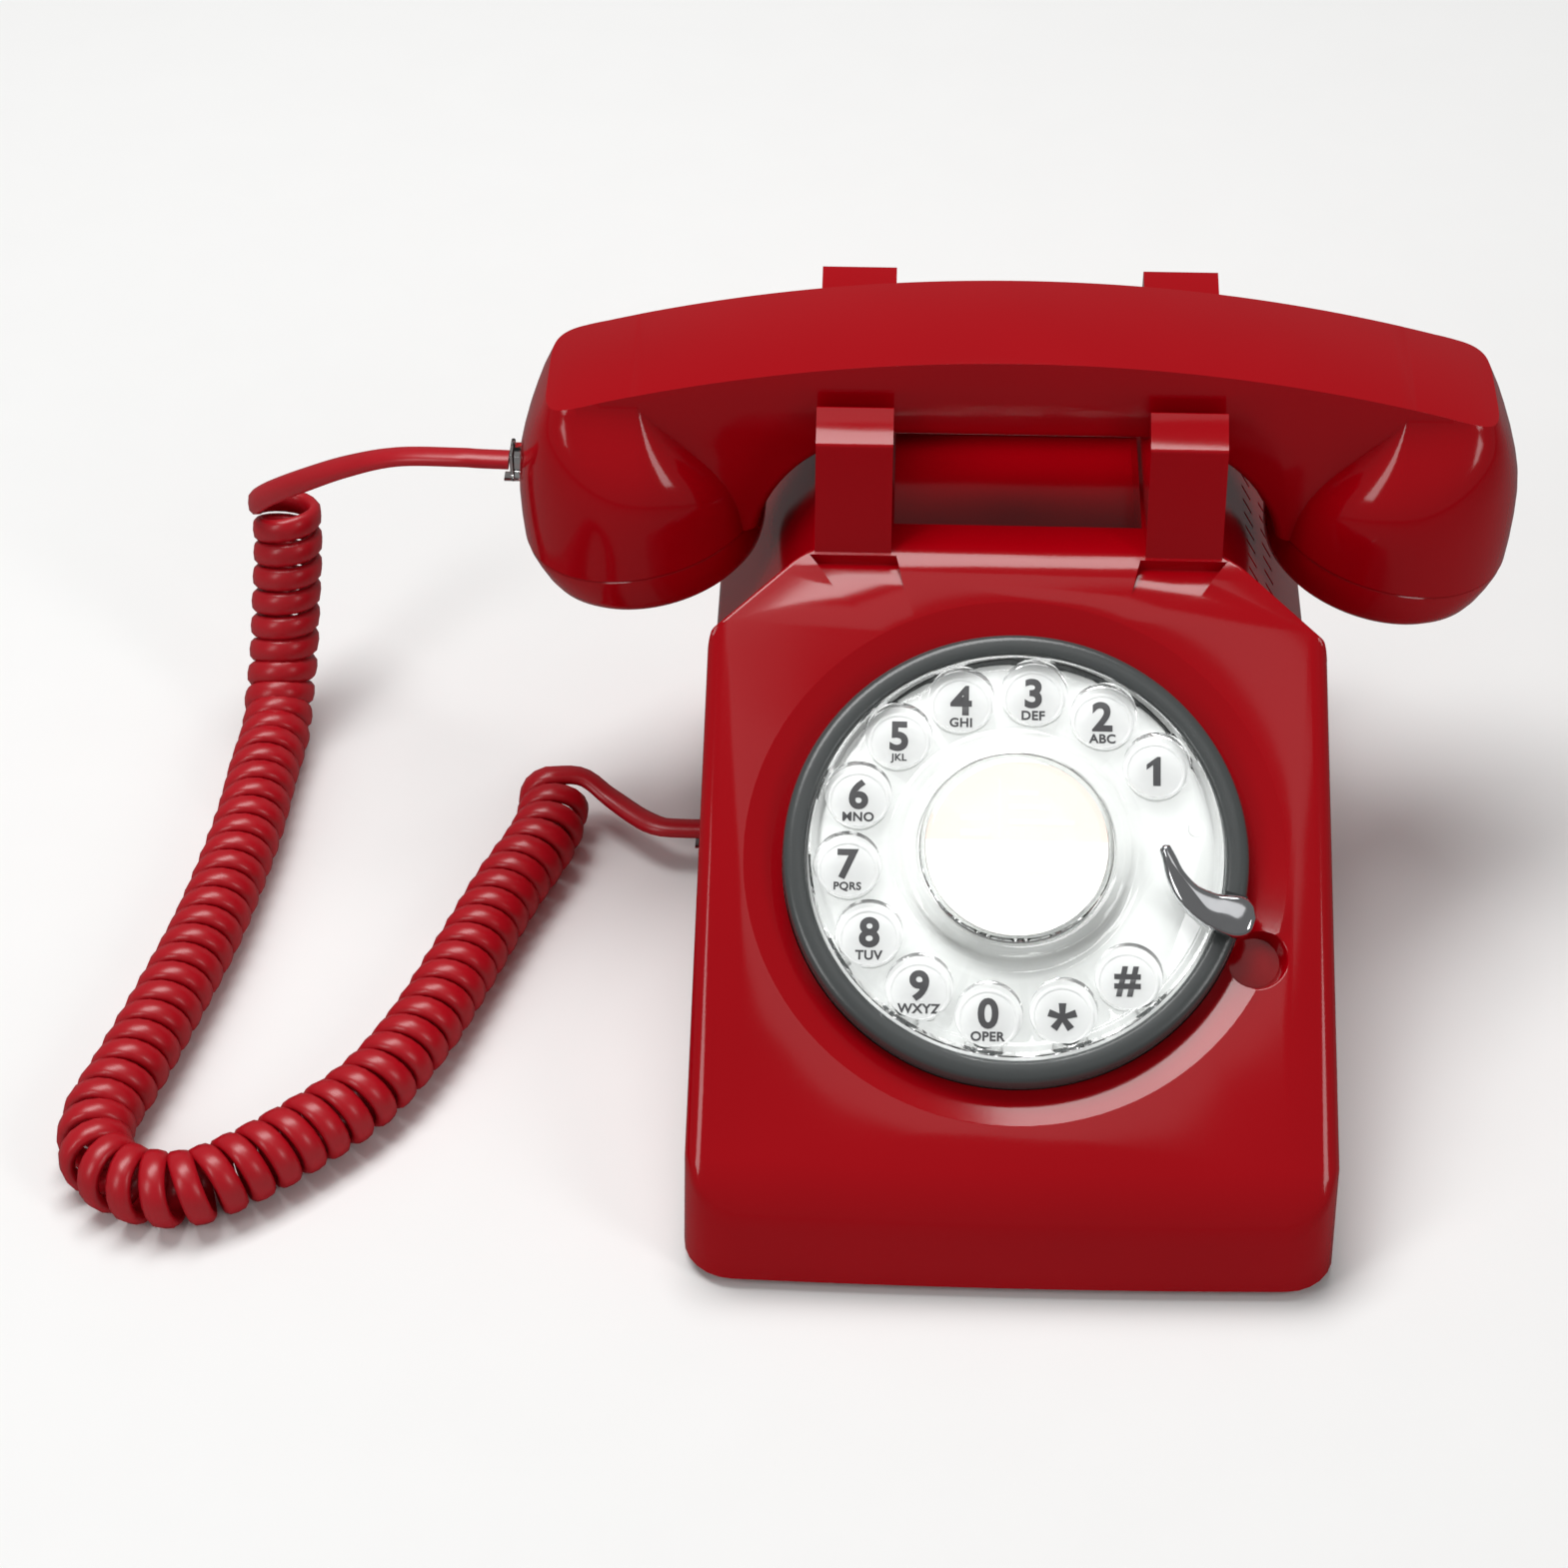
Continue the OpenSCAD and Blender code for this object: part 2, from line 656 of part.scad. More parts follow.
// Front outline of one half of the bar above its seam, for x > 0; d moves it inwards.
function half_outline(d) = let (
    half = handset_l / 2 - d,
    turn = 12,
    top = top_z(half - turn) - d,
    seam_out = seam_z - cup_r * sin(cup_lean) + (d > 0 ? -1 : 0.2),
    seam_in = seam_z + cup_r * sin(cup_lean) + (d > 0 ? -1 : 0),
    reach = arch_r - 0.4 - 0.6 * d)
    concat(
        [for (k = [0:20]) let (x = k / 20 * (half - turn)) [x, top_z(x) - d]],
        [for (a = [15:15:90]) [half - turn + turn * sin(a), top - 1.6 * turn * (1 - cos(a))]],
        [[half, seam_out + 4], [cup_x + (cup_r - d) * cos(cup_lean), seam_out],
            [arch_x + arch_r + d, seam_in]],
        [for (a = [0:7.5:90]) let (x = arch_x + reach * cos(a)) [x, arch_z(x, -d)]]);

module bar_outline(d) {
    right = half_outline(d);
    last = len(right) - 1;
    polygon(concat(right, [for (k = [last:-1:1]) [-right[k][0], right[k][1]]]));
}

module handset_shell() {
    top_r = handle_w / 2;
    cone_h = top_z(cup_x) - seam_z - 2;
    color(red) difference() {
        union() {
            along_y(cradle_y - handle_w / 2, cradle_y + handle_w / 2) bar_outline(0);
            for (s = [-1, 1]) translate([s * (cup_x - 1), cradle_y, seam_z - 8]) {
                cylinder(r = cup_r, h = 26);
                translate([0, 0, 26 - eps]) cylinder(r1 = cup_r, r2 = top_r, h = cone_h - 20);
            }
        }
        for (s = [-1, 1]) at_cup(s) {
            translate([0, 0, -20]) cylinder(r = 2 * cup_r, h = 20);
            translate([0, 0, -eps]) cylinder(r = cup_r - 3.5, h = 14);
            translate([0, 0, 14 - 2 * eps]) cylinder(r1 = cup_r - 3.5, r2 = top_r - 6, h = cone_h - 20);
        }
        along_y(cradle_y - handle_w / 2 + 3, cradle_y + handle_w / 2 - 3) intersection() {
            bar_outline(3);
            translate([-cup_x, 0]) square([2 * cup_x, 2 * bar_top_z]);
        }
        translate([handset_plug_x, cradle_y, handset_plug_z]) cube([30, 9.6, 9.6], center = true);
    }
}

// A screw-on cap: a bowl with a slightly smaller flat end.
module ear_cap() {
    difference() {
        union() {
            disc(cup_r, -3, 0);
            translate([0, 0, -cap_h + 2]) cylinder(r1 = cup_r - 1.6, r2 = cup_r, h = cap_h - 5 + eps);
            translate([0, 0, -cap_h]) cylinder(r1 = cup_r - 4, r2 = cup_r - 1.6, h = 2 + eps);
        }
        disc(cup_r - 3, -cap_h + 2.5, 1);
        children();
    }
}

module receiver_cap() {
    color(red) at_cup(1) ear_cap() {
        disc(1.2, -20, 0);
        for (a = [0:60:300]) rotate([0, 0, a]) translate([7, 0, -20]) cylinder(r = 1.2, h = 20);
    }
}

module transmitter_cap() {
    color(red) at_cup(-1) ear_cap() {
        disc(1.2, -20, 0);
        for (a = [0:60:300]) rotate([0, 0, a]) translate([7, 0, -20]) cylinder(r = 1.2, h = 20);
        for (a = [0:30:330]) rotate([0, 0, a]) translate([14, 0, -20]) cylinder(r = 1.2, h = 20);
    }
}

module receiver_capsule() {
    color(steel) at_cup(1) {
        disc(cup_r - 4, -cap_h + 2.5, -cap_h + 6);
        disc(12, -cap_h + 6 - eps, 3);
    }
}

module transmitter_capsule() {
    color(black) at_cup(-1) {
        disc(cup_r - 4, -cap_h + 2.5, -cap_h + 5);
        disc(9, -cap_h + 5 - eps, 0);
    }
}

module handset_weight() {
    color(steel) block([-26, cradle_y - 8, bar_low_z + 3], [26, cradle_y + 8, bar_low_z + 9]);
}

module handset_socket() {
    color(black) translate([handset_plug_x + 0.8, cradle_y, handset_plug_z]) rotate([0, -90, 0])
        modular_socket(9.6, 9.6, 14);
}

// ---------- cord ----------

// A clear modular plug, mouth end inside its socket, cord end on +Z.
module modular_plug() {
    block([-3, -3, -10], [3, 3, 2.6]);
}

module handset_plug() {
    color(clear, 0.6) translate([handset_plug_x + 0.8, cradle_y, handset_plug_z]) rotate([0, -90, 0]) {
        modular_plug();
        disc(2.4, 2.6, 10.3);
    }
}

module base_plug() {
    color(clear, 0.6) translate([-body_w / 2 + 0.6, base_socket_y, socket_z]) rotate([0, -90, 0]) {
        modular_plug();
        disc(2.4, 2.6, 8.1);
    }
}

module handset_lead() {
    color(red) swept(lead_a, cord_w / 2, 10);
}

module curly_cord() {
    color(red) swept(coil_path, coil_od / 2, 12);
}

module base_lead() {
    color(red) swept(lead_b, cord_w / 2, 10);
}

// ---------- one line per node ----------

housing();
base_plate();
rubber_feet();
base_screws();
ballast_weight();
circuit_board();
board_screws();
line_socket();
base_socket();
loudspeaker();
speaker_cone();
hook_bracket();
hook_pin();
hook_switch();
dial_ring();
number_plate();
finger_stop();
finger_stop_foot();
dial_frame();
dial_frame_screws();
dial_bearing();
mechanism_bridge();
return_spring();
pulse_contacts();
governor_cup();
button_switch();
finger_wheel();
wheel_hub();
dial_shaft();
drive_gear();
governor_shaft();
governor_pinion();
governor_weights();
button_cap();
label_card();
button_carrier();
button_spring();
hook_plungers();
hook_yoke();
hook_lever();
handset_shell();
receiver_cap();
transmitter_cap();
receiver_capsule();
transmitter_capsule();
handset_weight();
handset_socket();
handset_plug();
handset_lead();
curly_cord();
base_lead();
base_plug();
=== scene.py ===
# %% [markdown]
# # A red desk telephone with a rotary dial
#
# The telephone is a moulded plastic housing with a sloping face, a dial behind a clear finger
# wheel, and a handset that lies across two pairs of horns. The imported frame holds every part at
# its true place and size, and the joints that move them. This lesson gives each visible part its
# finished shape and its finish. Lengths are in millimetres while a part is being shaped, and they
# become metres when it is placed in the frame.

from math import atan2, cos, pi, radians, sin, sqrt, tan

import bmesh
import bpy
from mathutils import Matrix, Vector


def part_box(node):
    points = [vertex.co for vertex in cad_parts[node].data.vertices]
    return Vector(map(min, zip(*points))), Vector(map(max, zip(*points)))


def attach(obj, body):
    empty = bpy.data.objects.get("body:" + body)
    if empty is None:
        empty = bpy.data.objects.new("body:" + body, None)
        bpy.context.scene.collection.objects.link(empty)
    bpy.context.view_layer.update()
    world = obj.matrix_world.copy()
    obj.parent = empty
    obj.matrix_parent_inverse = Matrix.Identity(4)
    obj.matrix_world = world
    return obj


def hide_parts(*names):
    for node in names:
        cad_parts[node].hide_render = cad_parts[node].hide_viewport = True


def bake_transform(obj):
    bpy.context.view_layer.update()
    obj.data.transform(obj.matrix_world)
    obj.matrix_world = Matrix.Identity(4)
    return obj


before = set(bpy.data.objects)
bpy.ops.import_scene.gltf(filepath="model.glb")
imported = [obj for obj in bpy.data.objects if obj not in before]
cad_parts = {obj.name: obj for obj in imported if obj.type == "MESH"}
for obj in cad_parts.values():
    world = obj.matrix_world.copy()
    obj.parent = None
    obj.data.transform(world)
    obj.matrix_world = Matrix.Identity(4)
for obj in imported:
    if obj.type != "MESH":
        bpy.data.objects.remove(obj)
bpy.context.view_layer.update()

# %% [markdown]
# ## The main sizes
#
# Everything is laid out from a few lengths of the real object: the housing, the slope of its face,
# the radius of the finger wheel and the handset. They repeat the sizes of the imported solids, and
# the boxes of those solids are printed beside them as a check.

# %% Main sizes in millimetres
BODY_W, BODY_D = 144.0, 210.0
SLOPE = radians(31.4)
WHEEL_R, HOLE_R = 46.0, 7.5
HANDSET_L, HANDLE_W, CUP_R = 235.0, 33.0, 29.5

FOOT_H = 3.0
LIP_Y, LIP_Z = -102.2, 25.5
SHOULDER_Y = 25.62
DECK_Z = LIP_Z + (SHOULDER_Y - LIP_Y) * tan(SLOPE)
CRADLE_Y = SHOULDER_Y + 36.38
SEAM_Z = DECK_Z - 14.5
CUP_LEAN = radians(11.5)
CUP_X = HANDSET_L / 2 - CUP_R * cos(CUP_LEAN) - 0.5
BAR_LOW_Z, BAR_TOP_Z, BAR_TOP_R = DECK_Z + 18.5, DECK_Z + 39.5, 365.0
ARCH_R, ARCH_X = 34.0, CUP_X - 61
HORN_X, HORN_W = 37.8, 17.5
FLANK_X, FLANK_Z, FLANK_LEAN = CUP_X - 30, SEAM_Z - 7, radians(28.4)
DIAL_UP = 78.2
DISH_R, RING_R = WHEEL_R + 14.7, WHEEL_R + 5.8

for node in ("housing", "finger_wheel", "handset_shell"):
    low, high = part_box(node)
    print(node, [round(1000 * (b - a), 1) for a, b in zip(low, high)], "mm")

# %% [markdown]
# ## The camera
#
# The telephone is seen from above and in front, from about three quarters of a metre away, with a
# lens long enough to keep the sides of the housing almost parallel. A camera looks along its own
# -Z axis, so its rotation is built from three directions: right, up and back.

# %% Camera
camera_data = bpy.data.cameras.new("camera")
camera = bpy.data.objects.new("camera", camera_data)
bpy.context.scene.collection.objects.link(camera)
bpy.context.scene.camera = camera

height, turn, roll = radians(42), radians(2.2), radians(-0.3)
back = Vector((sin(turn) * cos(height), -cos(turn) * cos(height), sin(height)))
right = Vector((cos(turn), sin(turn), 0))
up = back.cross(right)
tilted_right = right * cos(roll) + up * sin(roll)
tilted_up = up * cos(roll) - right * sin(roll)
target = Vector((-0.0532, 0.0099, 0.0464))
place = target + 0.8826 * back
camera.matrix_world = Matrix((
    (tilted_right.x, tilted_up.x, back.x, place.x),
    (tilted_right.y, tilted_up.y, back.y, place.y),
    (tilted_right.z, tilted_up.z, back.z, place.z),
    (0, 0, 0, 1)))
camera_data.sensor_width = 36
camera_data.lens = 85.94
camera_data.clip_start, camera_data.clip_end = 0.05, 20
print("camera at", [round(c, 3) for c in place])

# %% [markdown]
# ## Helpers for materials
#
# Colours are written as sRGB hex values, the way they look on a screen, and one function turns
# them into the linear values that a shader works with. A second small function adds a node with
# its settings and links, so that a material reads as a short list of steps.

# %% Colour and node helpers
def linear(hex_colour):
    """An sRGB hex colour as a linear RGBA value."""
    channels = [int(hex_colour[i:i + 2], 16) / 255 for i in (1, 3, 5)]
    return [c / 12.92 if c <= 0.04045 else ((c + 0.055) / 1.055) ** 2.4 for c in channels] + [1]


def add_node(tree, kind, links=None, **settings):
    """One shader node with its settings; links join its inputs to other nodes' outputs."""
    node = tree.nodes.new("ShaderNode" + kind)
    for name, value in settings.items():
        if hasattr(node, name):
            setattr(node, name, value)
        else:
            node.inputs[name.replace("_", " ")].default_value = value
    for name, output in (links or {}).items():
        tree.links.new(output, node.inputs[name])
    return node


def new_material(name, **surface):
    """A material with one Principled surface whose constant values sit on its own sockets."""
    material = bpy.data.materials.new(name)
    material.use_nodes = True
    tree = material.node_tree
    tree.nodes.clear()
    shader = add_node(tree, "BsdfPrincipled")
    for socket, value in surface.items():
        shader.inputs[socket.replace("_", " ")].default_value = value
    output = add_node(tree, "OutputMaterial")
    tree.links.new(shader.outputs[0], output.inputs[0])
    return material, tree, shader


def spread(tree, amount_from, low, high):
    """The same 0 to 1 signal, brought into the range low to high."""
    return add_node(tree, "MapRange", {"Value": amount_from}, To_Min=low, To_Max=high).outputs[0]


def tint(tree, amount_from, first, second):
    """A colour between two hex colours, by a 0 to 1 signal."""
    mix = add_node(tree, "Mix", data_type="RGBA")
    mix.inputs[6].default_value = linear(first)
    mix.inputs[7].default_value = linear(second)
    tree.links.new(amount_from, mix.inputs[0])
    return mix.outputs[2]


# %% [markdown]
# ## Red moulded plastic
#
# The housing and the handset are injection-moulded ABS, polished in the mould. To the eye that is
# a deep even red under a sharp clear gloss, with very slow waves where the thick wall shrank as it
# cooled, and a few faint hairlines from handling. A noise about 40 mm across gives the waves
# through a weak bump, and a fine noise breaks the gloss up a little. The red itself changes by a
# hair, because pigment never mixes perfectly.

# %% Red ABS
def red_abs(name, base, deeper, roughness):
    material, tree, shader = new_material(
        name, IOR=1.42)
    place_on = add_node(tree, "TexCoord").outputs["Object"]
    # Sink marks: 1 / 0.04 m gives waves about 40 mm across.
    waves = add_node(tree, "TexNoise", {"Vector": place_on}, Scale=25.0, Detail=1.0)
    # Fine mould texture and dust-fine wear: 1 / 0.0008 m gives grains about 0.8 mm across.
    grain = add_node(tree, "TexNoise", {"Vector": place_on}, Scale=1250.0, Detail=3.0)
    # Hairlines: long thin streaks, about 0.3 mm by 12 mm.
    stretched = add_node(tree, "Mapping", {"Vector": place_on}, Scale=(80, 2600, 900),
                         Rotation=(0.2, 0.3, 0.5))
    hairlines = add_node(tree, "TexNoise", {"Vector": stretched.outputs[0]}, Scale=1.0, Detail=2.0)
    rare = add_node(tree, "MapRange", {"Value": hairlines.outputs[0]}, From_Min=0.68, From_Max=0.8)
    tree.links.new(tint(tree, waves.outputs[0], base, deeper), shader.inputs["Base Color"])
    uneven = spread(tree, grain.outputs[0], roughness - 0.02, roughness + 0.03)
    scuffed = add_node(tree, "Math", {0: rare.outputs[0]}, operation="MULTIPLY_ADD")
    scuffed.inputs[1].default_value = 0.07
    tree.links.new(uneven, scuffed.inputs[2])
    tree.links.new(scuffed.outputs[0], shader.inputs["Roughness"])
    slow = add_node(tree, "Bump", {"Height": waves.outputs[0]}, Strength=0.10, Distance=0.004)
    fine = add_node(tree, "Bump", {"Height": grain.outputs[0], "Normal": slow.outputs[0]},
                    Strength=0.02, Distance=0.0002)
    tree.links.new(fine.outputs[0], shader.inputs["Normal"])
    return material


shell_red = red_abs("red_abs_polished", "#a5000e", "#9c000c", 0.1)
print("made", shell_red.name)

# %% [markdown]
# ## Satin red cord
#
# The cord's jacket is flexible PVC. It is a little pinker than the hard shell because it is
# slightly cloudy, and its gloss is soft: a faint orange-peel skin from extrusion spreads the
# highlights. Fine lengthwise drag lines follow the cord, so they read its own UV map.

# %% Red PVC
cord_red, tree, shader = new_material(
    "red_pvc_extruded", IOR=1.50, Subsurface_Weight=0.06, Subsurface_Scale=0.001,
    Specular_IOR_Level=0.5)
shader.inputs["Subsurface Radius"].default_value = (1.0, 0.15, 0.1)
on_cord = add_node(tree, "TexCoord").outputs["Object"]
along_cord = add_node(tree, "UVMap", uv_map="cord").outputs[0]
peel = add_node(tree, "TexNoise", {"Vector": on_cord}, Scale=700.0, Detail=2.0)
cloud = add_node(tree, "TexNoise", {"Vector": on_cord}, Scale=60.0, Detail=2.0)
# About thirty drag lines round the jacket, each a few centimetres long.
pulled = add_node(tree, "Mapping", {"Vector": along_cord}, Scale=(30, 25, 1))
drag = add_node(tree, "TexNoise", {"Vector": pulled.outputs[0]}, Scale=1.0, Detail=1.0)
tree.links.new(tint(tree, cloud.outputs[0], "#b5101f", "#a80b19"), shader.inputs["Base Color"])
tree.links.new(spread(tree, peel.outputs[0], 0.27, 0.36), shader.inputs["Roughness"])
lined = add_node(tree, "Bump", {"Height": drag.outputs[0]}, Strength=0.06, Distance=0.0002)
skin = add_node(tree, "Bump", {"Height": peel.outputs[0], "Normal": lined.outputs[0]},
                Strength=0.05, Distance=0.0003)
tree.links.new(skin.outputs[0], shader.inputs["Normal"])

# %% [markdown]
# ## The curly cord
#
# A curly cord is a flat cord wound hot on a rod: straight leads at both ends and about sixty tight
# turns between them. The easiest honest way to draw it is by its centreline. The slow route of the
# coil comes first, then the cord runs round that route in a helix, and each lead joins the helix
# where it starts or ends. A small oval section is then swept along the whole line, with its wide
# side lying along the coil's axis.
#
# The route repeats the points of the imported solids, so the cord lies where they are: it falls from
# the handset on the left, lies on the table in one long bend, and comes back to the housing.

# %% The cord's route, in millimetres
lead_from_handset = [(-120, 62, 101), (-127, 62, 101.2), (-132, 62.2, 101.3), (-147, 65, 99),
                     (-160, 69.5, 92.5), (-172, 75.5, 83.5), (-182, 82.5, 74), (-187.6, 89, 66)]
coil_route = [(-182, 99, 58), (-182, 95, 47), (-183, 90, 34), (-184, 84, 21), (-185, 76, 12),
              (-185, 67, 9), (-186, 52, 9), (-187, 31, 9), (-191, -1, 9), (-197, -29, 9),
              (-203, -53, 9), (-207, -68, 9), (-205, -80, 9), (-196, -87, 9), (-184, -88, 9),
              (-173, -82, 9), (-160, -71, 9), (-147, -57, 9), (-137, -38, 9), (-129, -15, 9),
              (-121, 10, 9), (-114, 28, 9), (-112, 38, 9), (-112, 45, 9)]
lead_to_base = [(-105, 46.4, 14.6), (-98, 42, 12.2), (-90.5, 35.5, 11.6), (-85, 31.6, 12),
                (-79.5, 31, 12), (-74, 31, 12)]
COIL_R, CORD_W, CORD_T, TURN_PITCH = 7.1, 5.9, 3.4, 6.6
SOCKET_Y, SOCKET_Z = 31, 12


def smooth_line(points, step):
    """Points at an even step along a smooth curve through the given points."""
    points = [Vector(p) for p in points]
    padded = [2 * points[0] - points[1]] + points + [2 * points[-1] - points[-2]]
    fine = []
    for a, b, c, d in zip(padded, padded[1:], padded[2:], padded[3:]):
        for k in range(24):
            t = k / 24
            fine.append(0.5 * (2 * b + (c - a) * t + (2 * a - 5 * b + 4 * c - d) * t * t
                               + (3 * b - a - 3 * c + d) * t ** 3))
    fine.append(points[-1])
    gaps = [(q - p).length for p, q in zip(fine, fine[1:])]
    total = sum(gaps)
    count = max(2, round(total / step))
    line, walked, i = [fine[0]], 0.0, 0
    for k in range(1, count):
        wanted = total * k / count
        while walked + gaps[i] < wanted:
            walked += gaps[i]
            i += 1
        line.append(fine[i].lerp(fine[i + 1], (wanted - walked) / gaps[i]))
    return line + [fine[-1]]


def length_of(line):
    return sum((q - p).length for p, q in zip(line, line[1:]))


def heading(line, i):
    return (line[min(i + 1, len(line) - 1)] - line[max(i - 1, 0)]).normalized()


# %% Wind the helix round its route
def wound(route, pitch, radius, per_turn, first_side, last_side):
    """A helix round a smooth route, and the direction of the route at each of its points."""
    spine = smooth_line(route, pitch / per_turn)
    sides, axes = [], []
    side = Vector(first_side)
    for i in range(len(spine)):
        ahead = heading(spine, i)
        side = (side - ahead * side.dot(ahead)).normalized()
        sides.append(side)
        axes.append(ahead)
    # The turns are spread so that the last one ends on the wanted side of the coil.
    across = axes[-1].cross(sides[-1])
    end_angle = atan2(Vector(last_side).dot(across), Vector(last_side).dot(sides[-1]))
    wanted = 2 * pi * (len(spine) - 1) / per_turn
    total = end_angle + 2 * pi * round((wanted - end_angle) / (2 * pi))
    line = []
    for i, point in enumerate(spine):
        angle = total * i / (len(spine) - 1)
        line.append(point + radius * (sides[i] * cos(angle) + axes[i].cross(sides[i]) * sin(angle)))
    return line, axes


PER_TURN = 18
helix, helix_axes = wound(coil_route, TURN_PITCH, COIL_R, PER_TURN, (-1, 0, 0), (-0.2, 0, 1))
print("turns", round(len(helix) / PER_TURN, 1), "helix length", round(length_of(helix)), "mm",
      "first", [round(c) for c in helix[0]], "last", [round(c) for c in helix[-1]])

# %% [markdown]
# The leads reach the helix on the tangent. The upper lead passes in front of the top turn and swings
# round its left side, and the lower lead leaves the top of the last turn towards the housing. Both
# are only a few points that a smooth curve runs through.

# %% Join leads and helix into one line
upper = [Vector(p) for p in lead_from_handset] + [helix[0]]
lower = [helix[-1]] + [Vector(p) for p in lead_to_base]
upper_line = smooth_line(upper, 2.0)
lower_line = smooth_line(lower, 2.0)
cord_line = upper_line[:-1] + helix + lower_line[1:]
wide_axes = []
for i in range(len(upper_line) - 1):
    share = max(0.0, min(1.0, (i / (len(upper_line) - 1) - 0.25) / 0.6))
    wide_axes.append(Vector((0, 1, 0)).lerp(-helix_axes[0], share))
wide_axes += [-a for a in helix_axes]
for i in range(1, len(lower_line)):
    share = min(1.0, i / (len(lower_line) - 1) / 0.7)
    wide_axes.append((-helix_axes[-1]).lerp(Vector((0.15, -1, 0)), share))

# %% [markdown]
# The section is a rounded oval of ten points. Sweeping is done ring by ring, each ring joined to
# the last with quads, and the UV map runs along and round the cord for the drag lines.

# %% Sweep the cord
def swept_cord(line, wide, width, thickness, sides=10):
    bm = bmesh.new()
    uv = bm.loops.layers.uv.new("cord")
    rings, walked = [], 0.0
    for i, point in enumerate(line):
        ahead = heading(line, i)
        across = (wide[i] - ahead * wide[i].dot(ahead)).normalized()
        out = ahead.cross(across)
        ring = []
        for k in range(sides):
            angle = 2 * pi * (k + 0.5) / sides
            c, s = cos(angle), sin(angle)
            # A squarish oval: flat faces with rounded edges.
            fat = (abs(c) ** 2.6 + abs(s) ** 2.6) ** (-1 / 2.6)
            ring.append(bm.verts.new(point + fat * (across * c * width / 2 + out * s * thickness / 2)))
        if i:
            walked += (point - line[i - 1]).length
        rings.append((ring, walked))
    for (a, la), (b, lb) in zip(rings, rings[1:]):
        for k in range(sides):
            j = (k + 1) % sides
            face = bm.faces.new((a[k], a[j], b[j], b[k]))
            for loop, spot in zip(face.loops, ((k, la), (k + 1, la), (k + 1, lb), (k, lb))):
                loop[uv].uv = (spot[0] / sides, spot[1] / 100)
    bm.faces.new(list(reversed(rings[0][0])))
    bm.faces.new(rings[-1][0])
    bmesh.ops.recalc_face_normals(bm, faces=bm.faces)
    return bm


def mesh_object(name, bm, material, sharp_above=35):
    """A finished mesh in metres, smooth except across edges sharper than the given angle."""
    bmesh.ops.scale(bm, vec=(0.001, 0.001, 0.001), verts=bm.verts)
    mesh = bpy.data.meshes.new(name)
    bm.to_mesh(mesh)
    bm.free()
    mesh.polygons.foreach_set("use_smooth", [True] * len(mesh.polygons))
    mesh.set_sharp_from_angle(angle=radians(sharp_above))
    mesh.materials.append(material)
    piece = bpy.data.objects.new(name, mesh)
    bpy.context.scene.collection.objects.link(piece)
    return piece


cord = mesh_object("handset_cord", swept_cord(cord_line, wide_axes, CORD_W, CORD_T), cord_red, 60)
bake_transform(cord)
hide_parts("handset_lead", "curly_cord", "base_lead")

# %% [markdown]
# ## Helpers for solid pieces
#
# Most parts start as an outline or as a turned profile. `rounded` softens the corners of an
# outline, `prism` gives it a thickness, `turned` spins a profile about an axis, and `combined`
# joins or cuts two solids. `finished` runs modifiers such as Bevel on a mesh that is still being
# made, and gives the result back.

# %% Outline and solid helpers
def rounded(corners, segments=6):
    """An outline whose corners (x, y, radius) become arcs."""
    out = []
    n = len(corners)
    for i, (x, y, r) in enumerate(corners):
        p = Vector((x, y))
        if r <= 0:
            out.append(p)
            continue
        to_last = (Vector(corners[i - 1][:2]) - p).normalized()
        to_next = (Vector(corners[(i + 1) % n][:2]) - p).normalized()
        half = to_last.angle(to_next) / 2
        middle = p + (to_last + to_next).normalized() * (r / sin(half))
        start = p + to_last * (r / tan(half)) - middle
        end = p + to_next * (r / tan(half)) - middle
        for k in range(segments + 1):
            spot = start.slerp(end, k / segments) if start.angle(end) > 1e-4 else start
            out.append(middle + spot)
    return out


def extruded(points, shift):
    """A solid from a flat outline of points, moved along by the shift."""
    bm = bmesh.new()
    face = bm.faces.new([bm.verts.new(p) for p in points])
    moved = bmesh.ops.extrude_face_region(bm, geom=[face])["geom"]
    bmesh.ops.translate(bm, vec=shift, verts=[v for v in moved if isinstance(v, bmesh.types.BMVert)])
    bmesh.ops.recalc_face_normals(bm, faces=bm.faces)
    return bm


def prism(outline, axis, low, high):
    """A solid with the same outline at both ends, along the x or the y axis."""
    if axis == "x":
        return extruded([(low, a, b) for a, b in outline], (high - low, 0, 0))
    return extruded([(a, low, b) for a, b in outline], (0, high - low, 0))


def rod(radius, length, segments):
    """A cylinder along z with its middle at the origin."""
    bm = bmesh.new()
    bmesh.ops.create_cone(bm, cap_ends=True, segments=segments, radius1=radius, radius2=radius, depth=length)
    return bm


def turned(profile, steps=96):
    """A solid turned from (radius, height) points about the z axis; ends on the axis are closed."""
    bm = bmesh.new()
    verts = [bm.verts.new((r, 0, z)) for r, z in profile]
    edges = [bm.edges.new(pair) for pair in zip(verts, verts[1:])]
    if profile[0][0] > 1e-6 and profile[-1][0] > 1e-6:
        edges.append(bm.edges.new((verts[-1], verts[0])))
    bmesh.ops.spin(bm, geom=verts + edges, cent=(0, 0, 0), axis=(0, 0, 1), angle=2 * pi,
                   steps=steps, use_merge=True)
    bmesh.ops.remove_doubles(bm, verts=bm.verts, dist=1e-4)
    bmesh.ops.recalc_face_normals(bm, faces=bm.faces)
    return bm


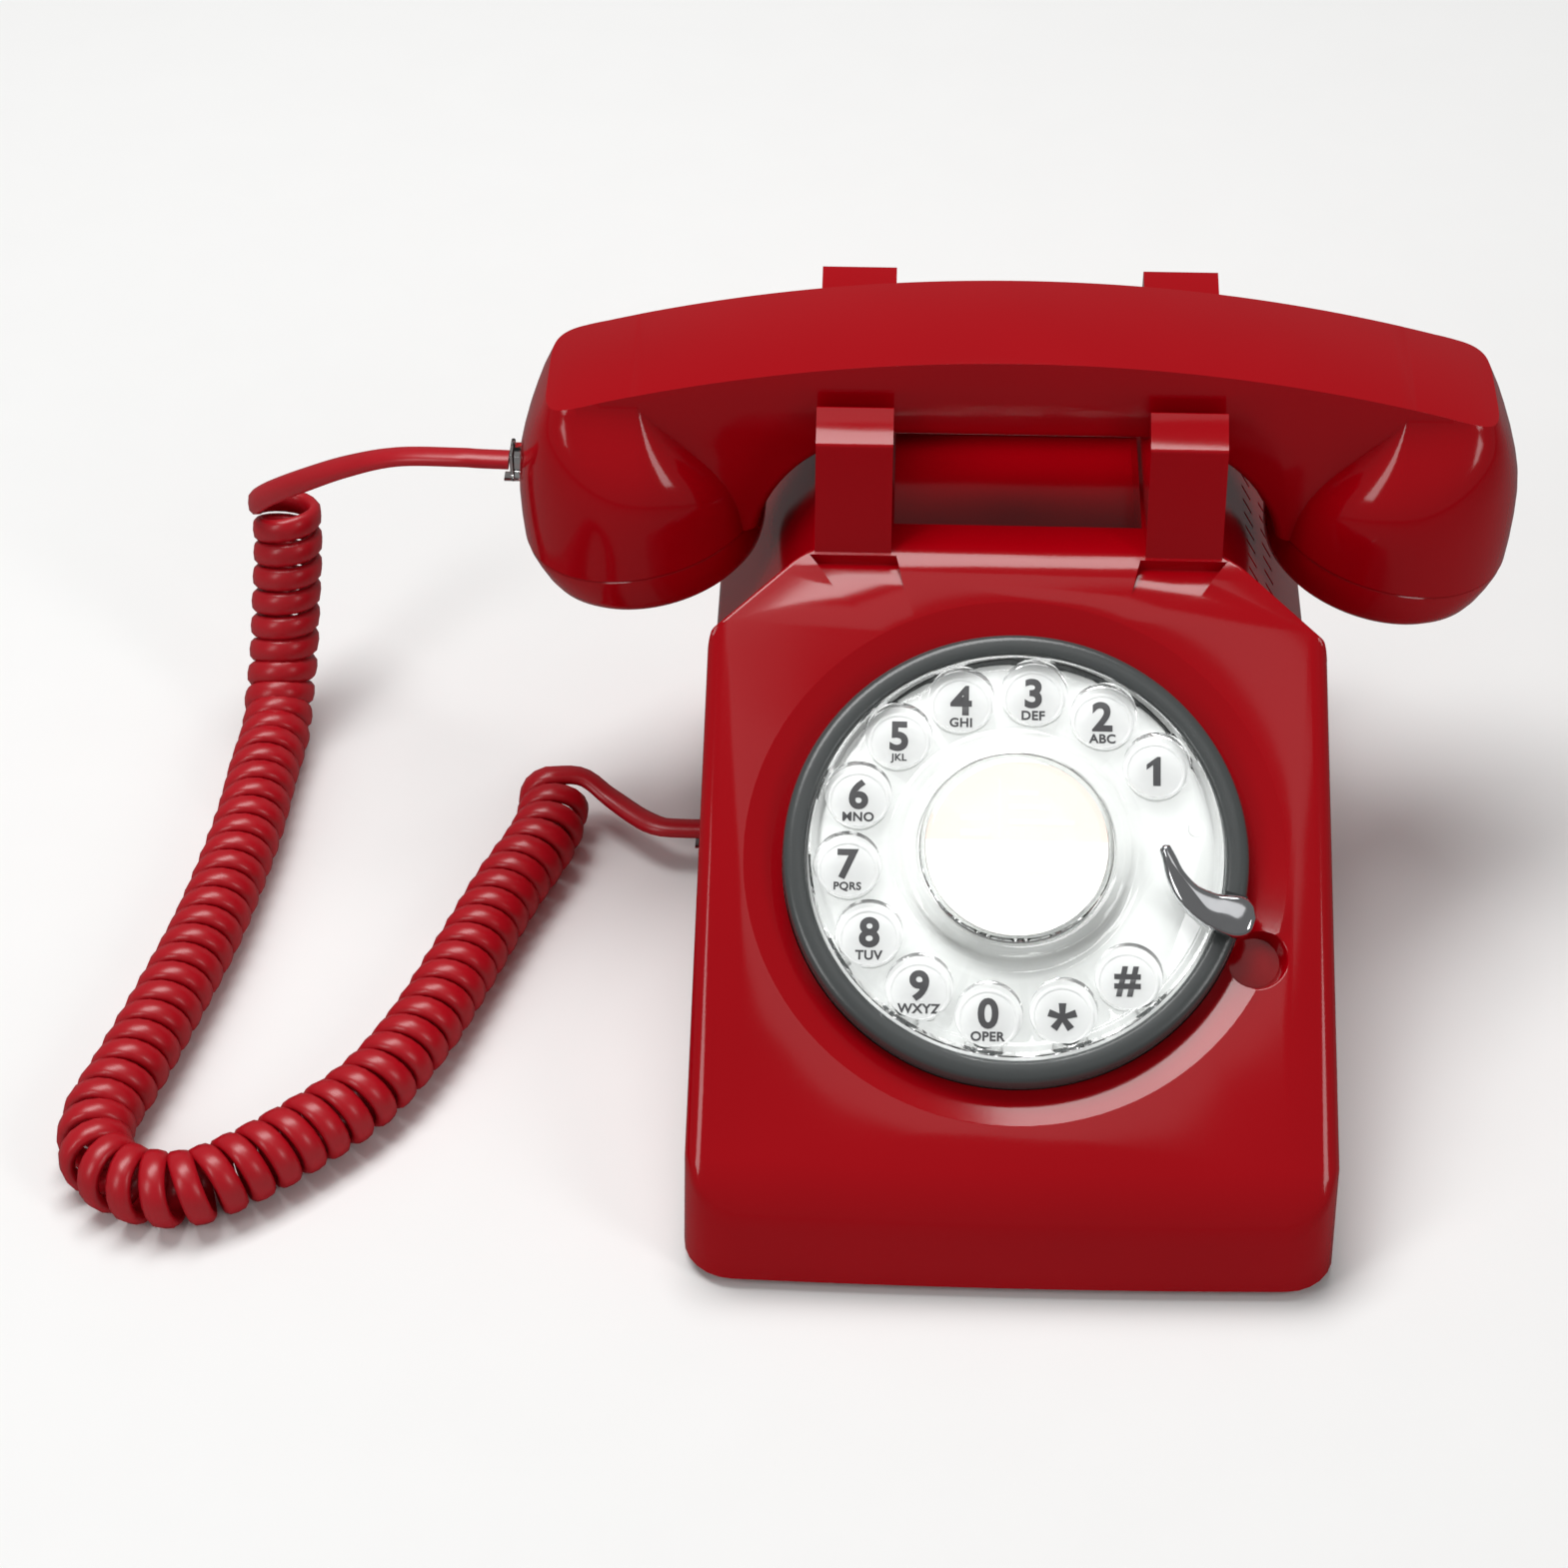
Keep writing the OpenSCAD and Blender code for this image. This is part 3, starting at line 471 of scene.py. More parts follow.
def finished(bm, *modifiers):
    """The mesh after a list of (kind, settings) modifiers."""
    mesh = bpy.data.meshes.new("making")
    bm.to_mesh(mesh)
    bm.free()
    thing = bpy.data.objects.new("making", mesh)
    bpy.context.scene.collection.objects.link(thing)
    for kind, settings in modifiers:
        step = thing.modifiers.new(kind.lower(), kind)
        for name, value in settings.items():
            setattr(step, name, value)
    shape = thing.evaluated_get(bpy.context.evaluated_depsgraph_get()).to_mesh()
    out = bmesh.new()
    out.from_mesh(shape)
    bpy.data.objects.remove(thing)
    bpy.data.meshes.remove(mesh)
    return out


def combined(bm, tool, operation):
    """Joins or cuts two solids: UNION, DIFFERENCE or INTERSECT."""
    mesh = bpy.data.meshes.new("tool")
    tool.to_mesh(mesh)
    tool.free()
    thing = bpy.data.objects.new("tool", mesh)
    bpy.context.scene.collection.objects.link(thing)
    out = finished(bm, ("BOOLEAN", {"object": thing, "operation": operation, "solver": "EXACT"}))
    bpy.data.objects.remove(thing)
    bpy.data.meshes.remove(mesh)
    return out


def placed(bm, matrix):
    bmesh.ops.transform(bm, matrix=matrix, verts=bm.verts)
    if matrix.determinant() < 0:
        bmesh.ops.reverse_faces(bm, faces=bm.faces)
    return bm


def new_piece(name, bm, material, body, slot, *nodes, sharp_above=35):
    """A finished piece that rides on a body, takes the given material and stands for some nodes; the slot is
    not used.
    """
    bmesh.ops.remove_doubles(bm, verts=bm.verts, dist=0.002)
    piece = mesh_object(name, bm, material, sharp_above)
    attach(piece, body)
    if nodes:
        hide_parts(*nodes)
    print(name, len(piece.data.polygons), "faces")
    return piece


def block(low, high):
    bm = bmesh.new()
    bmesh.ops.create_cube(bm, size=1)
    low, high = Vector(low), Vector(high)
    bmesh.ops.scale(bm, vec=high - low, verts=bm.verts)
    bmesh.ops.translate(bm, vec=(low + high) / 2, verts=bm.verts)
    return bm


def mirrored(side):
    """The identity for the right side (1) and a mirror in x for the left side (-1)."""
    return Matrix.Diagonal((side, 1, 1, 1))


AT_DIAL = Matrix.Translation((0, LIP_Y + DIAL_UP * cos(SLOPE), LIP_Z + DIAL_UP * sin(SLOPE))) \
    @ Matrix.Rotation(SLOPE, 4, "X")
print("dial centre", [round(c, 1) for c in AT_DIAL.translation])

# %% [markdown]
# ## The housing
#
# The housing is one moulding. Its side view is a long wedge: a low front, a sloping face, a short
# deck and a steep back. Seen from the front its flanks lean in a little, because a moulding needs
# draft to leave its mould. The solid starts as a sharp prism of that side view, and the edges are
# then bevelled with a width of their own: wide at the front lip and the corners, narrow along the
# face. A weight on each edge tells the Bevel modifier how wide it is.

# %% Wedge and flanks
LIP_BOW, DRAFT = 1.3, 0.026


def body_prism():
    back = BODY_D / 2
    outline = [(-back, FOOT_H), (LIP_Y, LIP_Z), (SHOULDER_Y, DECK_Z), (back - 8, DECK_Z), (back, 58),
               (back, FOOT_H)]
    bm = prism(outline, "x", -BODY_W / 2, BODY_W / 2)
    for x in range(-60, 61, 15):
        everything = bm.verts[:] + bm.edges[:] + bm.faces[:]
        bmesh.ops.bisect_plane(bm, geom=everything, plane_co=(x, 0, 0), plane_no=(1, 0, 0))
    for v in bm.verts:
        if v.co.y < -95:
            # The lip is bowed forward a little, and stays in the plane of the face.
            bow = LIP_BOW * (1 - (2 * v.co.x / BODY_W) ** 2)
            v.co.y -= bow
            v.co.z -= bow * tan(SLOPE) if v.co.z > 20 else 0
        v.co.x *= 1 - DRAFT * (v.co.z - FOOT_H) / (DECK_Z - FOOT_H)
    return bm


def flank_wedge(side):
    lean = tan(FLANK_LEAN)
    slab = prism([(FLANK_X + 120 * lean, FLANK_Z - 120), (FLANK_X - 60 * lean, FLANK_Z + 60),
                  (FLANK_X + 150, FLANK_Z + 60), (FLANK_X + 150, FLANK_Z - 120)], "y", -80, 180)
    plan = [(FLANK_X - 8, SHOULDER_Y), (FLANK_X + 18, SHOULDER_Y - 20.6), (FLANK_X + 68, SHOULDER_Y - 60.6),
            (FLANK_X + 160, SHOULDER_Y - 60.6), (FLANK_X + 160, 160), (FLANK_X - 30, 160),
            (FLANK_X - 30, SHOULDER_Y + 17.4)]
    corner = extruded([(x, y, -10) for x, y in plan], (0, 0, 300))
    return placed(combined(slab, corner, "INTERSECT"), mirrored(side))


shell = body_prism()
for side in (1, -1):
    shell = combined(shell, flank_wedge(side), "DIFFERENCE")
bmesh.ops.dissolve_limit(shell, angle_limit=radians(0.05), verts=shell.verts, edges=shell.edges)


# %% Bevel each edge by its own width
def edge_width(edge):
    """How wide the bevel of a housing edge is, in millimetres."""
    a, b = edge.verts[0].co, edge.verts[1].co
    middle, along = (a + b) / 2, (b - a).normalized()
    if len(edge.link_faces) != 2 or edge.calc_face_angle_signed(0) < 0.05:
        return 0.0
    if middle.z < FOOT_H + 0.5:
        return 0.0
    if abs(along.x) > 0.9:
        if middle.y < -95:
            return 9.5
        if middle.z > DECK_Z - 1 and middle.y < 60:
            return 5.0
        return 4.0
    if middle.y < -99 and middle.z < 26:
        return 11.0
    if middle.y > 100:
        return 9.0
    if middle.y < 10 and abs(abs(middle.x) - 71) < 3 and abs(along.x) < 0.3 and abs(along.y) > 0.5:
        return 4.2
    return 1.4


weights = shell.edges.layers.float.new("bevel_weight_edge")
for edge in shell.edges:
    edge[weights] = edge_width(edge) / 10
shell = finished(shell, ("BEVEL", {
    "width": 10.0, "segments": 6, "limit_method": "WEIGHT", "use_clamp_overlap": False,
    "miter_outer": "MITER_SHARP", "loop_slide": True}))
print("housing blank", len(shell.faces), "faces")

# %% [markdown]
# Each horn's foot is a shallow pocket: its floor slopes up to the horn's front from the face. It is
# cut by a wedge that is a little wider than the horn.

# %% Pockets at the horns' feet
for side in (1, -1):
    inner, outer = HORN_X - HORN_W / 2, HORN_X + HORN_W / 2
    y0 = SHOULDER_Y - 7.5
    z0 = LIP_Z + (y0 - LIP_Y) * tan(SLOPE)
    plan = [(inner - 3.2, y0, z0), (outer - 5.0, y0, z0), (outer + 1.2, 26, z0 + 1.2),
            (inner - 1.2, 26, z0 + 1.2)]
    foot = extruded(plan, (0, 0, 30))
    shell = combined(shell, placed(foot, mirrored(side)), "DIFFERENCE")

# %% [markdown]
# Two pairs of horns stand on the deck, one at each side of a deep well, and the handle lies in the
# seat between them. Each pair is another prism, softened before it is joined. The well is cut after
# them, and so is a hole in each seat, where a plunger of the hook switch comes up.

# %% Horns and well
PLUNGER_HOLE_R = 4.4
SEAT_FRONT, SEAT_REAR = CRADLE_Y - HANDLE_W / 2 - 0.4, CRADLE_Y + HANDLE_W / 2 + 0.4
BAR_END = 58


def horn_outline():
    top = BAR_LOW_Z + 11.5
    front, rear = SEAT_FRONT, SEAT_REAR
    return rounded([
        (22.6, DECK_Z - 16, 0), (28.6, top + 0.6, 6.5), (front - 2.5, top + 0.6, 2.0), (front, top - 5, 1.5),
        (front, BAR_LOW_Z, 1.0), (rear, BAR_LOW_Z, 1.0), (rear, top - 5, 2), (rear + 4.5, top + 3, 3),
        (94.6, top + 3.2, 1.6), (95.4, DECK_Z - 16, 0)])


def arch_z(x, gap):
    """Height of the handle's underside at x, less a gap."""
    drop = ARCH_R - sqrt(max(0, ARCH_R ** 2 - (abs(x) - ARCH_X) ** 2)) if abs(x) > ARCH_X else 0
    return BAR_LOW_Z - gap - drop


for side in (1, -1):
    horn = prism(horn_outline(), "x", side * HORN_X - HORN_W / 2, side * HORN_X + HORN_W / 2)
    seat = prism([(x, arch_z(x, 0.12)) for x in range(-BAR_END, BAR_END + 1, 2)]
                 + [(BAR_END, 200), (-BAR_END, 200)], "y", SEAT_FRONT, SEAT_REAR)
    horn = combined(horn, seat, "DIFFERENCE")
    bmesh.ops.dissolve_limit(horn, angle_limit=radians(0.5), verts=horn.verts, edges=horn.edges)
    horn = finished(horn, ("BEVEL", {"width": 0.9, "segments": 3, "limit_method": "ANGLE",
                                     "angle_limit": radians(40)}))
    shell = combined(shell, horn, "UNION")

well_x = HORN_X - HORN_W / 2 - 0.5
well = block((-well_x, 37, DECK_Z - 15), (well_x, 91.5, DECK_Z + 30))
shell = combined(shell, well, "DIFFERENCE")
for side in (1, -1):
    at_plunger = Matrix.Translation((side * HORN_X, CRADLE_Y, BAR_LOW_Z - 10))
    shell = combined(shell, placed(rod(PLUNGER_HOLE_R, 60, 48), at_plunger), "DIFFERENCE")

# %% [markdown]
# The dial sits in a shallow funnel with a rounded lip. Its cutter is turned like a lathe part, in
# the dial's own coordinates, and then laid on the face. A small round pocket beside the finger stop
# makes room for a fingertip. The cutter goes on down as a wide hole for the dial itself.

# %% Funnel, fingertip pocket and inside
def lip_cutter(flat_r, deep_r, depth, edge, through):
    """A cutter whose side runs from a rounded lip at the surface down to deep_r."""
    slope = atan2(depth, flat_r - deep_r)
    lip = [(flat_r + edge * tan(slope / 2) - edge * sin(a), -edge * (1 - cos(a)))
           for a in [radians(10) + k * (slope - radians(10)) / 6 for k in range(7)]]
    return [(0, 12), (flat_r + 12, 12), (flat_r + 12, 1.6), (lip[0][0] + 1.6, 0.28)] + lip \
        + [(deep_r, -depth), (deep_r, -through), (0, -through)]


funnel = placed(turned(lip_cutter(DISH_R, RING_R + 0.25, 2.6, 1.4, 30)), AT_DIAL)
shell = combined(shell, funnel, "DIFFERENCE")
at_pocket = AT_DIAL @ Matrix.Rotation(radians(-22), 4, "Z") @ Matrix.Translation((DISH_R - 3.2, 0, 0))
pocket = placed(turned(lip_cutter(7.0, 5.6, 4.2, 0.7, 4.5), 48), at_pocket)
shell = combined(shell, pocket, "DIFFERENCE")
inside_outline = [(-101.5, 0), (-99, 23.2), (SHOULDER_Y + 1, DECK_Z - 20.5), (93.5, DECK_Z - 20.5),
                  (101.5, 56), (101.5, 0)]
inside = prism(inside_outline, "x", -BODY_W / 2 + 22, BODY_W / 2 - 22)
shell = combined(shell, inside, "DIFFERENCE")
wide_inside = prism([(-101, -1), (-98, 20), (-60, 43), (98, 43), (101, -1)], "x",
                    -BODY_W / 2 + 3.2, BODY_W / 2 - 3.2)
shell = combined(shell, wide_inside, "DIFFERENCE")
cord_mouth = block((-BODY_W, SOCKET_Y - 6, SOCKET_Z - 6), (-BODY_W / 2 + 6, SOCKET_Y + 6, SOCKET_Z + 6))
line_mouth = block((33, 95, 9), (47, 112, 23))
for tool in (cord_mouth, line_mouth):
    shell = combined(shell, tool, "DIFFERENCE")

# %% [markdown]
# Two rows of short slots on the right flank let the bell and the loudspeaker be heard. They are cut with
# small blocks that lean with the flank.

# %% Sound slots
SLOT_STEP, SLOT_ROWS, SLOTS_IN_ROW = 5.2, 2, 11
lean_flank = Matrix.Rotation(-FLANK_LEAN, 4, "Y")
for row in range(SLOT_ROWS):
    for k in range(SLOTS_IN_ROW):
        middle = (FLANK_X - 2 + 5.2 * row, SHOULDER_Y + 12 + SLOT_STEP * k, FLANK_Z + 4 - 9 * row)
        slot = placed(block((-4, -0.55, -2.6), (6, 0.55, 2.6)), Matrix.Translation(middle) @ lean_flank)
        shell = combined(shell, slot, "DIFFERENCE")

housing = new_piece("housing_shell", shell, shell_red, "base", "red_shell", "housing", sharp_above=28)
print("housing size", [round(1000 * c, 1) for c in housing.dimensions], "mm")

# %% [markdown]
# ## The handset
#
# The handset's shell is a bar with a long arc on top, and a bell at each end that meets the bar in
# a crisp crease. The bar is a prism of its front view. Each bell is a skin over a stack of rings,
# round at the seam and squarer towards the top. All three are joined, trimmed to the arc and cut
# along the seams, where the screwed caps begin.

# %% Bar, bells and seams
def top_z(x):
    return BAR_TOP_Z - BAR_TOP_R + sqrt(BAR_TOP_R ** 2 - x * x)


def bar_half():
    """The front view of half the bar: the handle, its arch, and a stub inside the bell."""
    points = [(0, 160), (89, 160), (89, SEAM_Z - 10), (ARCH_X + ARCH_R, SEAM_Z - 10)]
    return points + [(ARCH_X + ARCH_R * cos(radians(a)), BAR_LOW_Z - ARCH_R + ARCH_R * sin(radians(a)))
                     for a in range(0, 91, 5)]


half = bar_half()
outline = half + [(-x, z) for x, z in reversed(half) if x > 0.01]
bar = prism(outline, "y", CRADLE_Y - HANDLE_W / 2, CRADLE_Y + HANDLE_W / 2)
weights = bar.edges.layers.float.new("bevel_weight_edge")
for edge in bar.edges:
    a, b = edge.verts[0].co, edge.verts[1].co
    on_arch = max(abs(a.x), abs(b.x)) < 61.5 and max(a.z, b.z) < BAR_LOW_Z + 1
    if on_arch and abs((b - a).normalized().y) < 0.5:
        edge[weights] = 0.22
bar = finished(bar, ("BEVEL", {"width": 10.0, "segments": 4, "limit_method": "WEIGHT",
                               "use_clamp_overlap": False}))

# Height over the seam, half depth, reach outwards, reach inwards, and how square the outer half is.
BELL_ROWS = [
    (-14, 29.5, 27.4, 30.2, 2.0), (-6, 29.5, 28.8, 30.2, 2.0), (0, 29.5, 29.3, 29.8, 2.0),
    (6, 29.8, 29.5, 28.9, 2.0), (12, 29.9, 29.4, 27.4, 2.0), (17, 29.5, 28.8, 25.0, 2.1),
    (21, 28.6, 27.9, 22.2, 2.25), (25, 26.9, 26.7, 18.6, 2.6), (29, 24.4, 25.2, 14.4, 3.1),
    (32, 22.0, 23.9, 11.2, 3.8), (35, 19.6, 22.4, 8.2, 4.6), (37.5, 17.8, 21.2, 5.8, 5.4),
    (39.5, 16.8, 20.0, 4.0, 6.0), (41, 16.46, 19.0, 3.0, 6.5), (48, 16.46, 15.0, 3.0, 7.0)]


def lofted(rows, sides=96):
    """A skin over a stack of rounded rings."""
    bm = bmesh.new()
    rings = []
    for height, depth, outwards, inwards, square in rows:
        ring = bmesh.ops.create_circle(bm, segments=sides, radius=1)["verts"]
        for v in ring:
            c, s = v.co.x, v.co.y
            power = 2 / square if c > 0 else 1
            v.co = ((outwards if c > 0 else -inwards) * abs(c) ** power,
                    (1 if s > 0 else -1) * depth * abs(s) ** power, height)
        rings.append([e for e in bm.edges if e.verts[0] in ring and e.verts[1] in ring])
    for lower_ring, upper_ring in zip(rings, rings[1:]):
        bmesh.ops.bridge_loops(bm, edges=lower_ring + upper_ring)
    bmesh.ops.holes_fill(bm, edges=bm.edges[:], sides=sides)
    bmesh.ops.recalc_face_normals(bm, faces=bm.faces)
    return bm


for side in (1, -1):
    at_bell = Matrix.Translation((side * CUP_X, CRADLE_Y, SEAM_Z)) @ mirrored(side)
    bar = combined(bar, placed(lofted(BELL_ROWS), at_bell), "UNION")
above = prism([(x, top_z(x)) for x in range(-126, 127, 4)] + [(126, 200), (-126, 200)], "y", 0, 120)
bar = combined(bar, above, "DIFFERENCE")

# The long upper edges are softened last, when the bells have joined the bar.
weights = bar.edges.layers.float.get("bevel_weight_edge") or bar.edges.layers.float.new("bevel_weight_edge")
for edge in bar.edges:
    on_top = all(abs(v.co.z - top_z(v.co.x)) < 0.12 for v in edge.verts)
    sharp = len(edge.link_faces) == 2 and edge.calc_face_angle_signed(0) > radians(30)
    edge[weights] = 0.14 if on_top and sharp else 0
bar = finished(bar, ("BEVEL", {"width": 10.0, "segments": 3, "limit_method": "WEIGHT",
                               "use_clamp_overlap": True}))


def cup_frame(side):
    return Matrix.Translation((side * CUP_X, CRADLE_Y, SEAM_Z)) @ Matrix.Rotation(side * CUP_LEAN, 4, "Y")


for side in (1, -1):
    below = placed(block((-60, -60, -60), (60, 60, 0)), cup_frame(side))
    bar = combined(bar, below, "DIFFERENCE")
    hollow = placed(turned([(0, -5), (CUP_R - 3.4, -5), (CUP_R - 3.4, 8), (0, 8)], 64), cup_frame(side))
    bar = combined(bar, hollow, "DIFFERENCE")
plug_mouth = block((-HANDSET_L / 2 - 4, CRADLE_Y - 4.8, SEAM_Z + 7.2),
                   (-HANDSET_L / 2 + 15, CRADLE_Y + 4.8, SEAM_Z + 16.8))
bar = combined(bar, plug_mouth, "DIFFERENCE")
handset = new_piece("handset_body", bar, shell_red, "handset", "red_shell", "handset_shell", sharp_above=26)
print("handset size", [round(1000 * c, 1) for c in handset.dimensions], "mm")

# %% [markdown]
# The two caps are turned bowls that screw into the bells. A hair of a groove is left at the seam.
# The receiver has a ring of six holes and the transmitter has more.

# %% Ear and mouth caps
CAP_H = 13.0
CAP = [(0, -CAP_H), (20, -CAP_H), (23.5, -CAP_H + 0.25), (25.3, -CAP_H + 0.9), (26.6, -CAP_H + 2.2),
       (27.6, -CAP_H + 4.4), (28.6, -CAP_H + 7.8), (29.25, -CAP_H + 10.8), (29.3, -0.75), (28.9, -0.35),
       (28.4, -0.3), (28.4, -0.02), (26.3, -0.02), (26.3, -CAP_H + 2.6), (0, -CAP_H + 2.6)]
for side, rings, name in ((1, ((7, 6),), "receiver_cap"), (-1, ((7, 6), (14, 12)), "transmitter_cap")):
    cap = turned(CAP, 96)
    turns = [(r, 2 * pi * k / n) for r, n in rings for k in range(n)]
    spots = [(0, 0)] + [(r * cos(a), r * sin(a)) for r, a in turns]
    for x, y in spots:
        drill = placed(rod(1.2, 12, 20), Matrix.Translation((x, y, -CAP_H)))
        cap = combined(cap, drill, "DIFFERENCE")
    new_piece(name + "_turned", placed(cap, cup_frame(side)), shell_red, "handset", "red_shell", name,
              sharp_above=30)

# %% [markdown]
# ## Finishes for the dial
#
# The dial shows five more finishes. Its outer ring is black ABS with a fine satin texture from an
# eroded mould. The plate under the wheel is white ABS. The numbers are printed in dark grey ink.
# The finger wheel and the cap of the button are clear acrylic, which is glass-clear inside and
# bright at every edge. The finger stop is a zinc casting plated with chrome, which mirrors the
# room. All of them get their fine texture from noise on Object coordinates.

# %% Dial materials
def moulded(name, first, second, roughness, grain_mm=0.5, bump=0.05, **surface):
    """A moulded plastic: a base colour that changes by a hair and a fine grain."""
    material, tree, shader = new_material(name, **surface)
    place_on = add_node(tree, "TexCoord").outputs["Object"]
    cloud = add_node(tree, "TexNoise", {"Vector": place_on}, Scale=45.0, Detail=2.0)
    grain = add_node(tree, "TexNoise", {"Vector": place_on}, Scale=1000 / grain_mm, Detail=2.0)
    tree.links.new(tint(tree, cloud.outputs[0], first, second), shader.inputs["Base Color"])
    rub = spread(tree, grain.outputs[0], roughness - 0.04, roughness + 0.06)
    tree.links.new(rub, shader.inputs["Roughness"])
    rough = add_node(tree, "Bump", {"Height": grain.outputs[0]}, Strength=bump, Distance=0.0002)
    tree.links.new(rough.outputs[0], shader.inputs["Normal"])
    return material


ring_black = moulded("black_abs_satin", "#4b4e4e", "#444747", 0.24, 0.6, 0.10, IOR=1.5)
black_abs = moulded("black_abs_textured", "#1b1b1c", "#161617", 0.42, 0.7, 0.2, IOR=1.5)
plate_white = moulded("white_abs_semi_gloss", "#dfe1e0", "#dadcdb", 0.24, 0.8, 0.04, IOR=1.5)
nylon_white = moulded("white_nylon", "#e6e4dc", "#dedbd1", 0.45, 0.6, 0.1, IOR=1.53)
number_ink = moulded("dark_grey_printing_ink", "#454547", "#3f3f41", 0.5, 0.15, 0.1, IOR=1.48)
faint_ink = moulded("pale_grey_printing_ink", "#d9d2ce", "#d2cbc7", 0.5, 0.15, 0.1, IOR=1.48)
foot_rubber = moulded("black_nitrile_rubber", "#202021", "#19191a", 0.7, 0.4, 0.25, IOR=1.52)
board_green = moulded("green_solder_mask_on_fr4", "#1e5b36", "#1a5230", 0.3, 1.2, 0.06, IOR=1.5)
cone_grey = moulded("pressed_paper_cone", "#4a4742", "#3e3b37", 0.85, 0.9, 0.5, IOR=1.45)


def clear_acrylic(name, roughness):
    material, tree, shader = new_material(name, IOR=1.49, Transmission_Weight=1.0)
    shader.inputs["Base Color"].default_value = linear("#fdfefd")
    place_on = add_node(tree, "TexCoord").outputs["Object"]
    flow = add_node(tree, "TexNoise", {"Vector": place_on}, Scale=60.0, Detail=1.0)
    rub = add_node(tree, "TexNoise", {"Vector": place_on}, Scale=900.0, Detail=2.0)
    tree.links.new(spread(tree, rub.outputs[0], roughness, roughness + 0.05), shader.inputs["Roughness"])
    wavy = add_node(tree, "Bump", {"Height": flow.outputs[0]}, Strength=0.05, Distance=0.001)
    tree.links.new(wavy.outputs[0], shader.inputs["Normal"])
    # A thin clear part casts almost no shadow, so lamps shine straight through it.
    through = add_node(tree, "BsdfTransparent")
    is_shadow = add_node(tree, "LightPath").outputs["Is Shadow Ray"]
    mixed = add_node(tree, "MixShader", {0: is_shadow, 1: shader.outputs[0], 2: through.outputs[0]})
    output = next(n for n in tree.nodes if n.bl_idname == "ShaderNodeOutputMaterial")
    tree.links.new(mixed.outputs[0], output.inputs[0])
    return material


acrylic = clear_acrylic("clear_cast_acrylic", 0.01)


def metal(name, colour, second, roughness, lines=None, bump=0.05):
    material, tree, shader = new_material(name, Metallic=1.0)
    place_on = add_node(tree, "TexCoord").outputs["Object"]
    stretched = add_node(tree, "Mapping", {"Vector": place_on}, Scale=lines or (600, 600, 600))
    marks = add_node(tree, "TexNoise", {"Vector": stretched.outputs[0]}, Scale=1.0, Detail=3.0)
    tree.links.new(tint(tree, marks.outputs[0], colour, second), shader.inputs["Base Color"])
    tree.links.new(spread(tree, marks.outputs[0], roughness, roughness + 0.08), shader.inputs["Roughness"])
    scratched = add_node(tree, "Bump", {"Height": marks.outputs[0]}, Strength=bump, Distance=0.0001)
    tree.links.new(scratched.outputs[0], shader.inputs["Normal"])
    return material


chrome = metal("chrome_on_zinc", "#d5d6d8", "#c9cacd", 0.04, (300, 300, 300), 0.01)
zinc_steel = metal("zinc_plated_steel", "#a9adb0", "#989ca0", 0.28, (120, 1500, 1500), 0.08)
brass = metal("machined_brass", "#c9a45c", "#b8934d", 0.22, (900, 900, 900), 0.05)
gold_contact = metal("gold_flash_on_bronze", "#e0b653", "#d4a945", 0.15, (900, 900, 900), 0.02)
print("materials", len(bpy.data.materials))

# %% [markdown]
# ## The dial's ring and plate
#
# The ring and the plate are turned profiles. The plate has a low raised disc under each finger
# hole, where the number is printed, which catches the light as a faint circle.

# %% Ring and plate
HOLE_CIRCLE_R, FIRST_HOLE, HOLE_STEP = WHEEL_R - 8.6, 33.7, 25.3
hole_angles = [radians(FIRST_HOLE + HOLE_STEP * k) for k in range(12)]
hole_spots = [(HOLE_CIRCLE_R * cos(a), HOLE_CIRCLE_R * sin(a)) for a in hole_angles]
ring = turned([(RING_R, -9), (RING_R, 2.4), (RING_R - 0.35, 3.3), (RING_R - 1.1, 3.85), (RING_R - 2.0, 4.0),
               (WHEEL_R + 1.7, 4.0), (WHEEL_R + 1.1, 3.8), (WHEEL_R + 0.7, 3.3), (WHEEL_R + 0.6, 2.6),
               (WHEEL_R + 0.6, -1.25), (WHEEL_R - 5, -1.25), (WHEEL_R - 5, -9)], 128)
new_piece("dial_ring_turned", placed(ring, AT_DIAL), ring_black, "base", "black_plastic", "dial_ring",
          sharp_above=40)

plate = turned([(9, -1.2), (9, 0), (WHEEL_R - 0.2, 0), (WHEEL_R + 0.45, -0.2), (WHEEL_R + 0.45, -1.2)], 128)
for x, y in hole_spots:
    disc = turned([(0, -0.5), (7.1, -0.5), (7.1, 0.12), (6.85, 0.34), (6.5, 0.42), (6.2, 0.34),
                   (6.0, 0.22), (0, 0.2)], 40)
    plate = combined(plate, placed(disc, Matrix.Translation((x, y, 0))), "UNION")
new_piece("number_plate_turned", placed(plate, AT_DIAL), plate_white, "base", "number_face", "number_plate",
          sharp_above=30)

# %% [markdown]
# ## The numbers
#
# A plain sans-serif face stands for the printed numbers and the letters below them. A text object
# becomes a mesh first, then it is moved onto the plate. A small offset makes the strokes bold, and
# the print is a few hundredths of a millimetre thick.

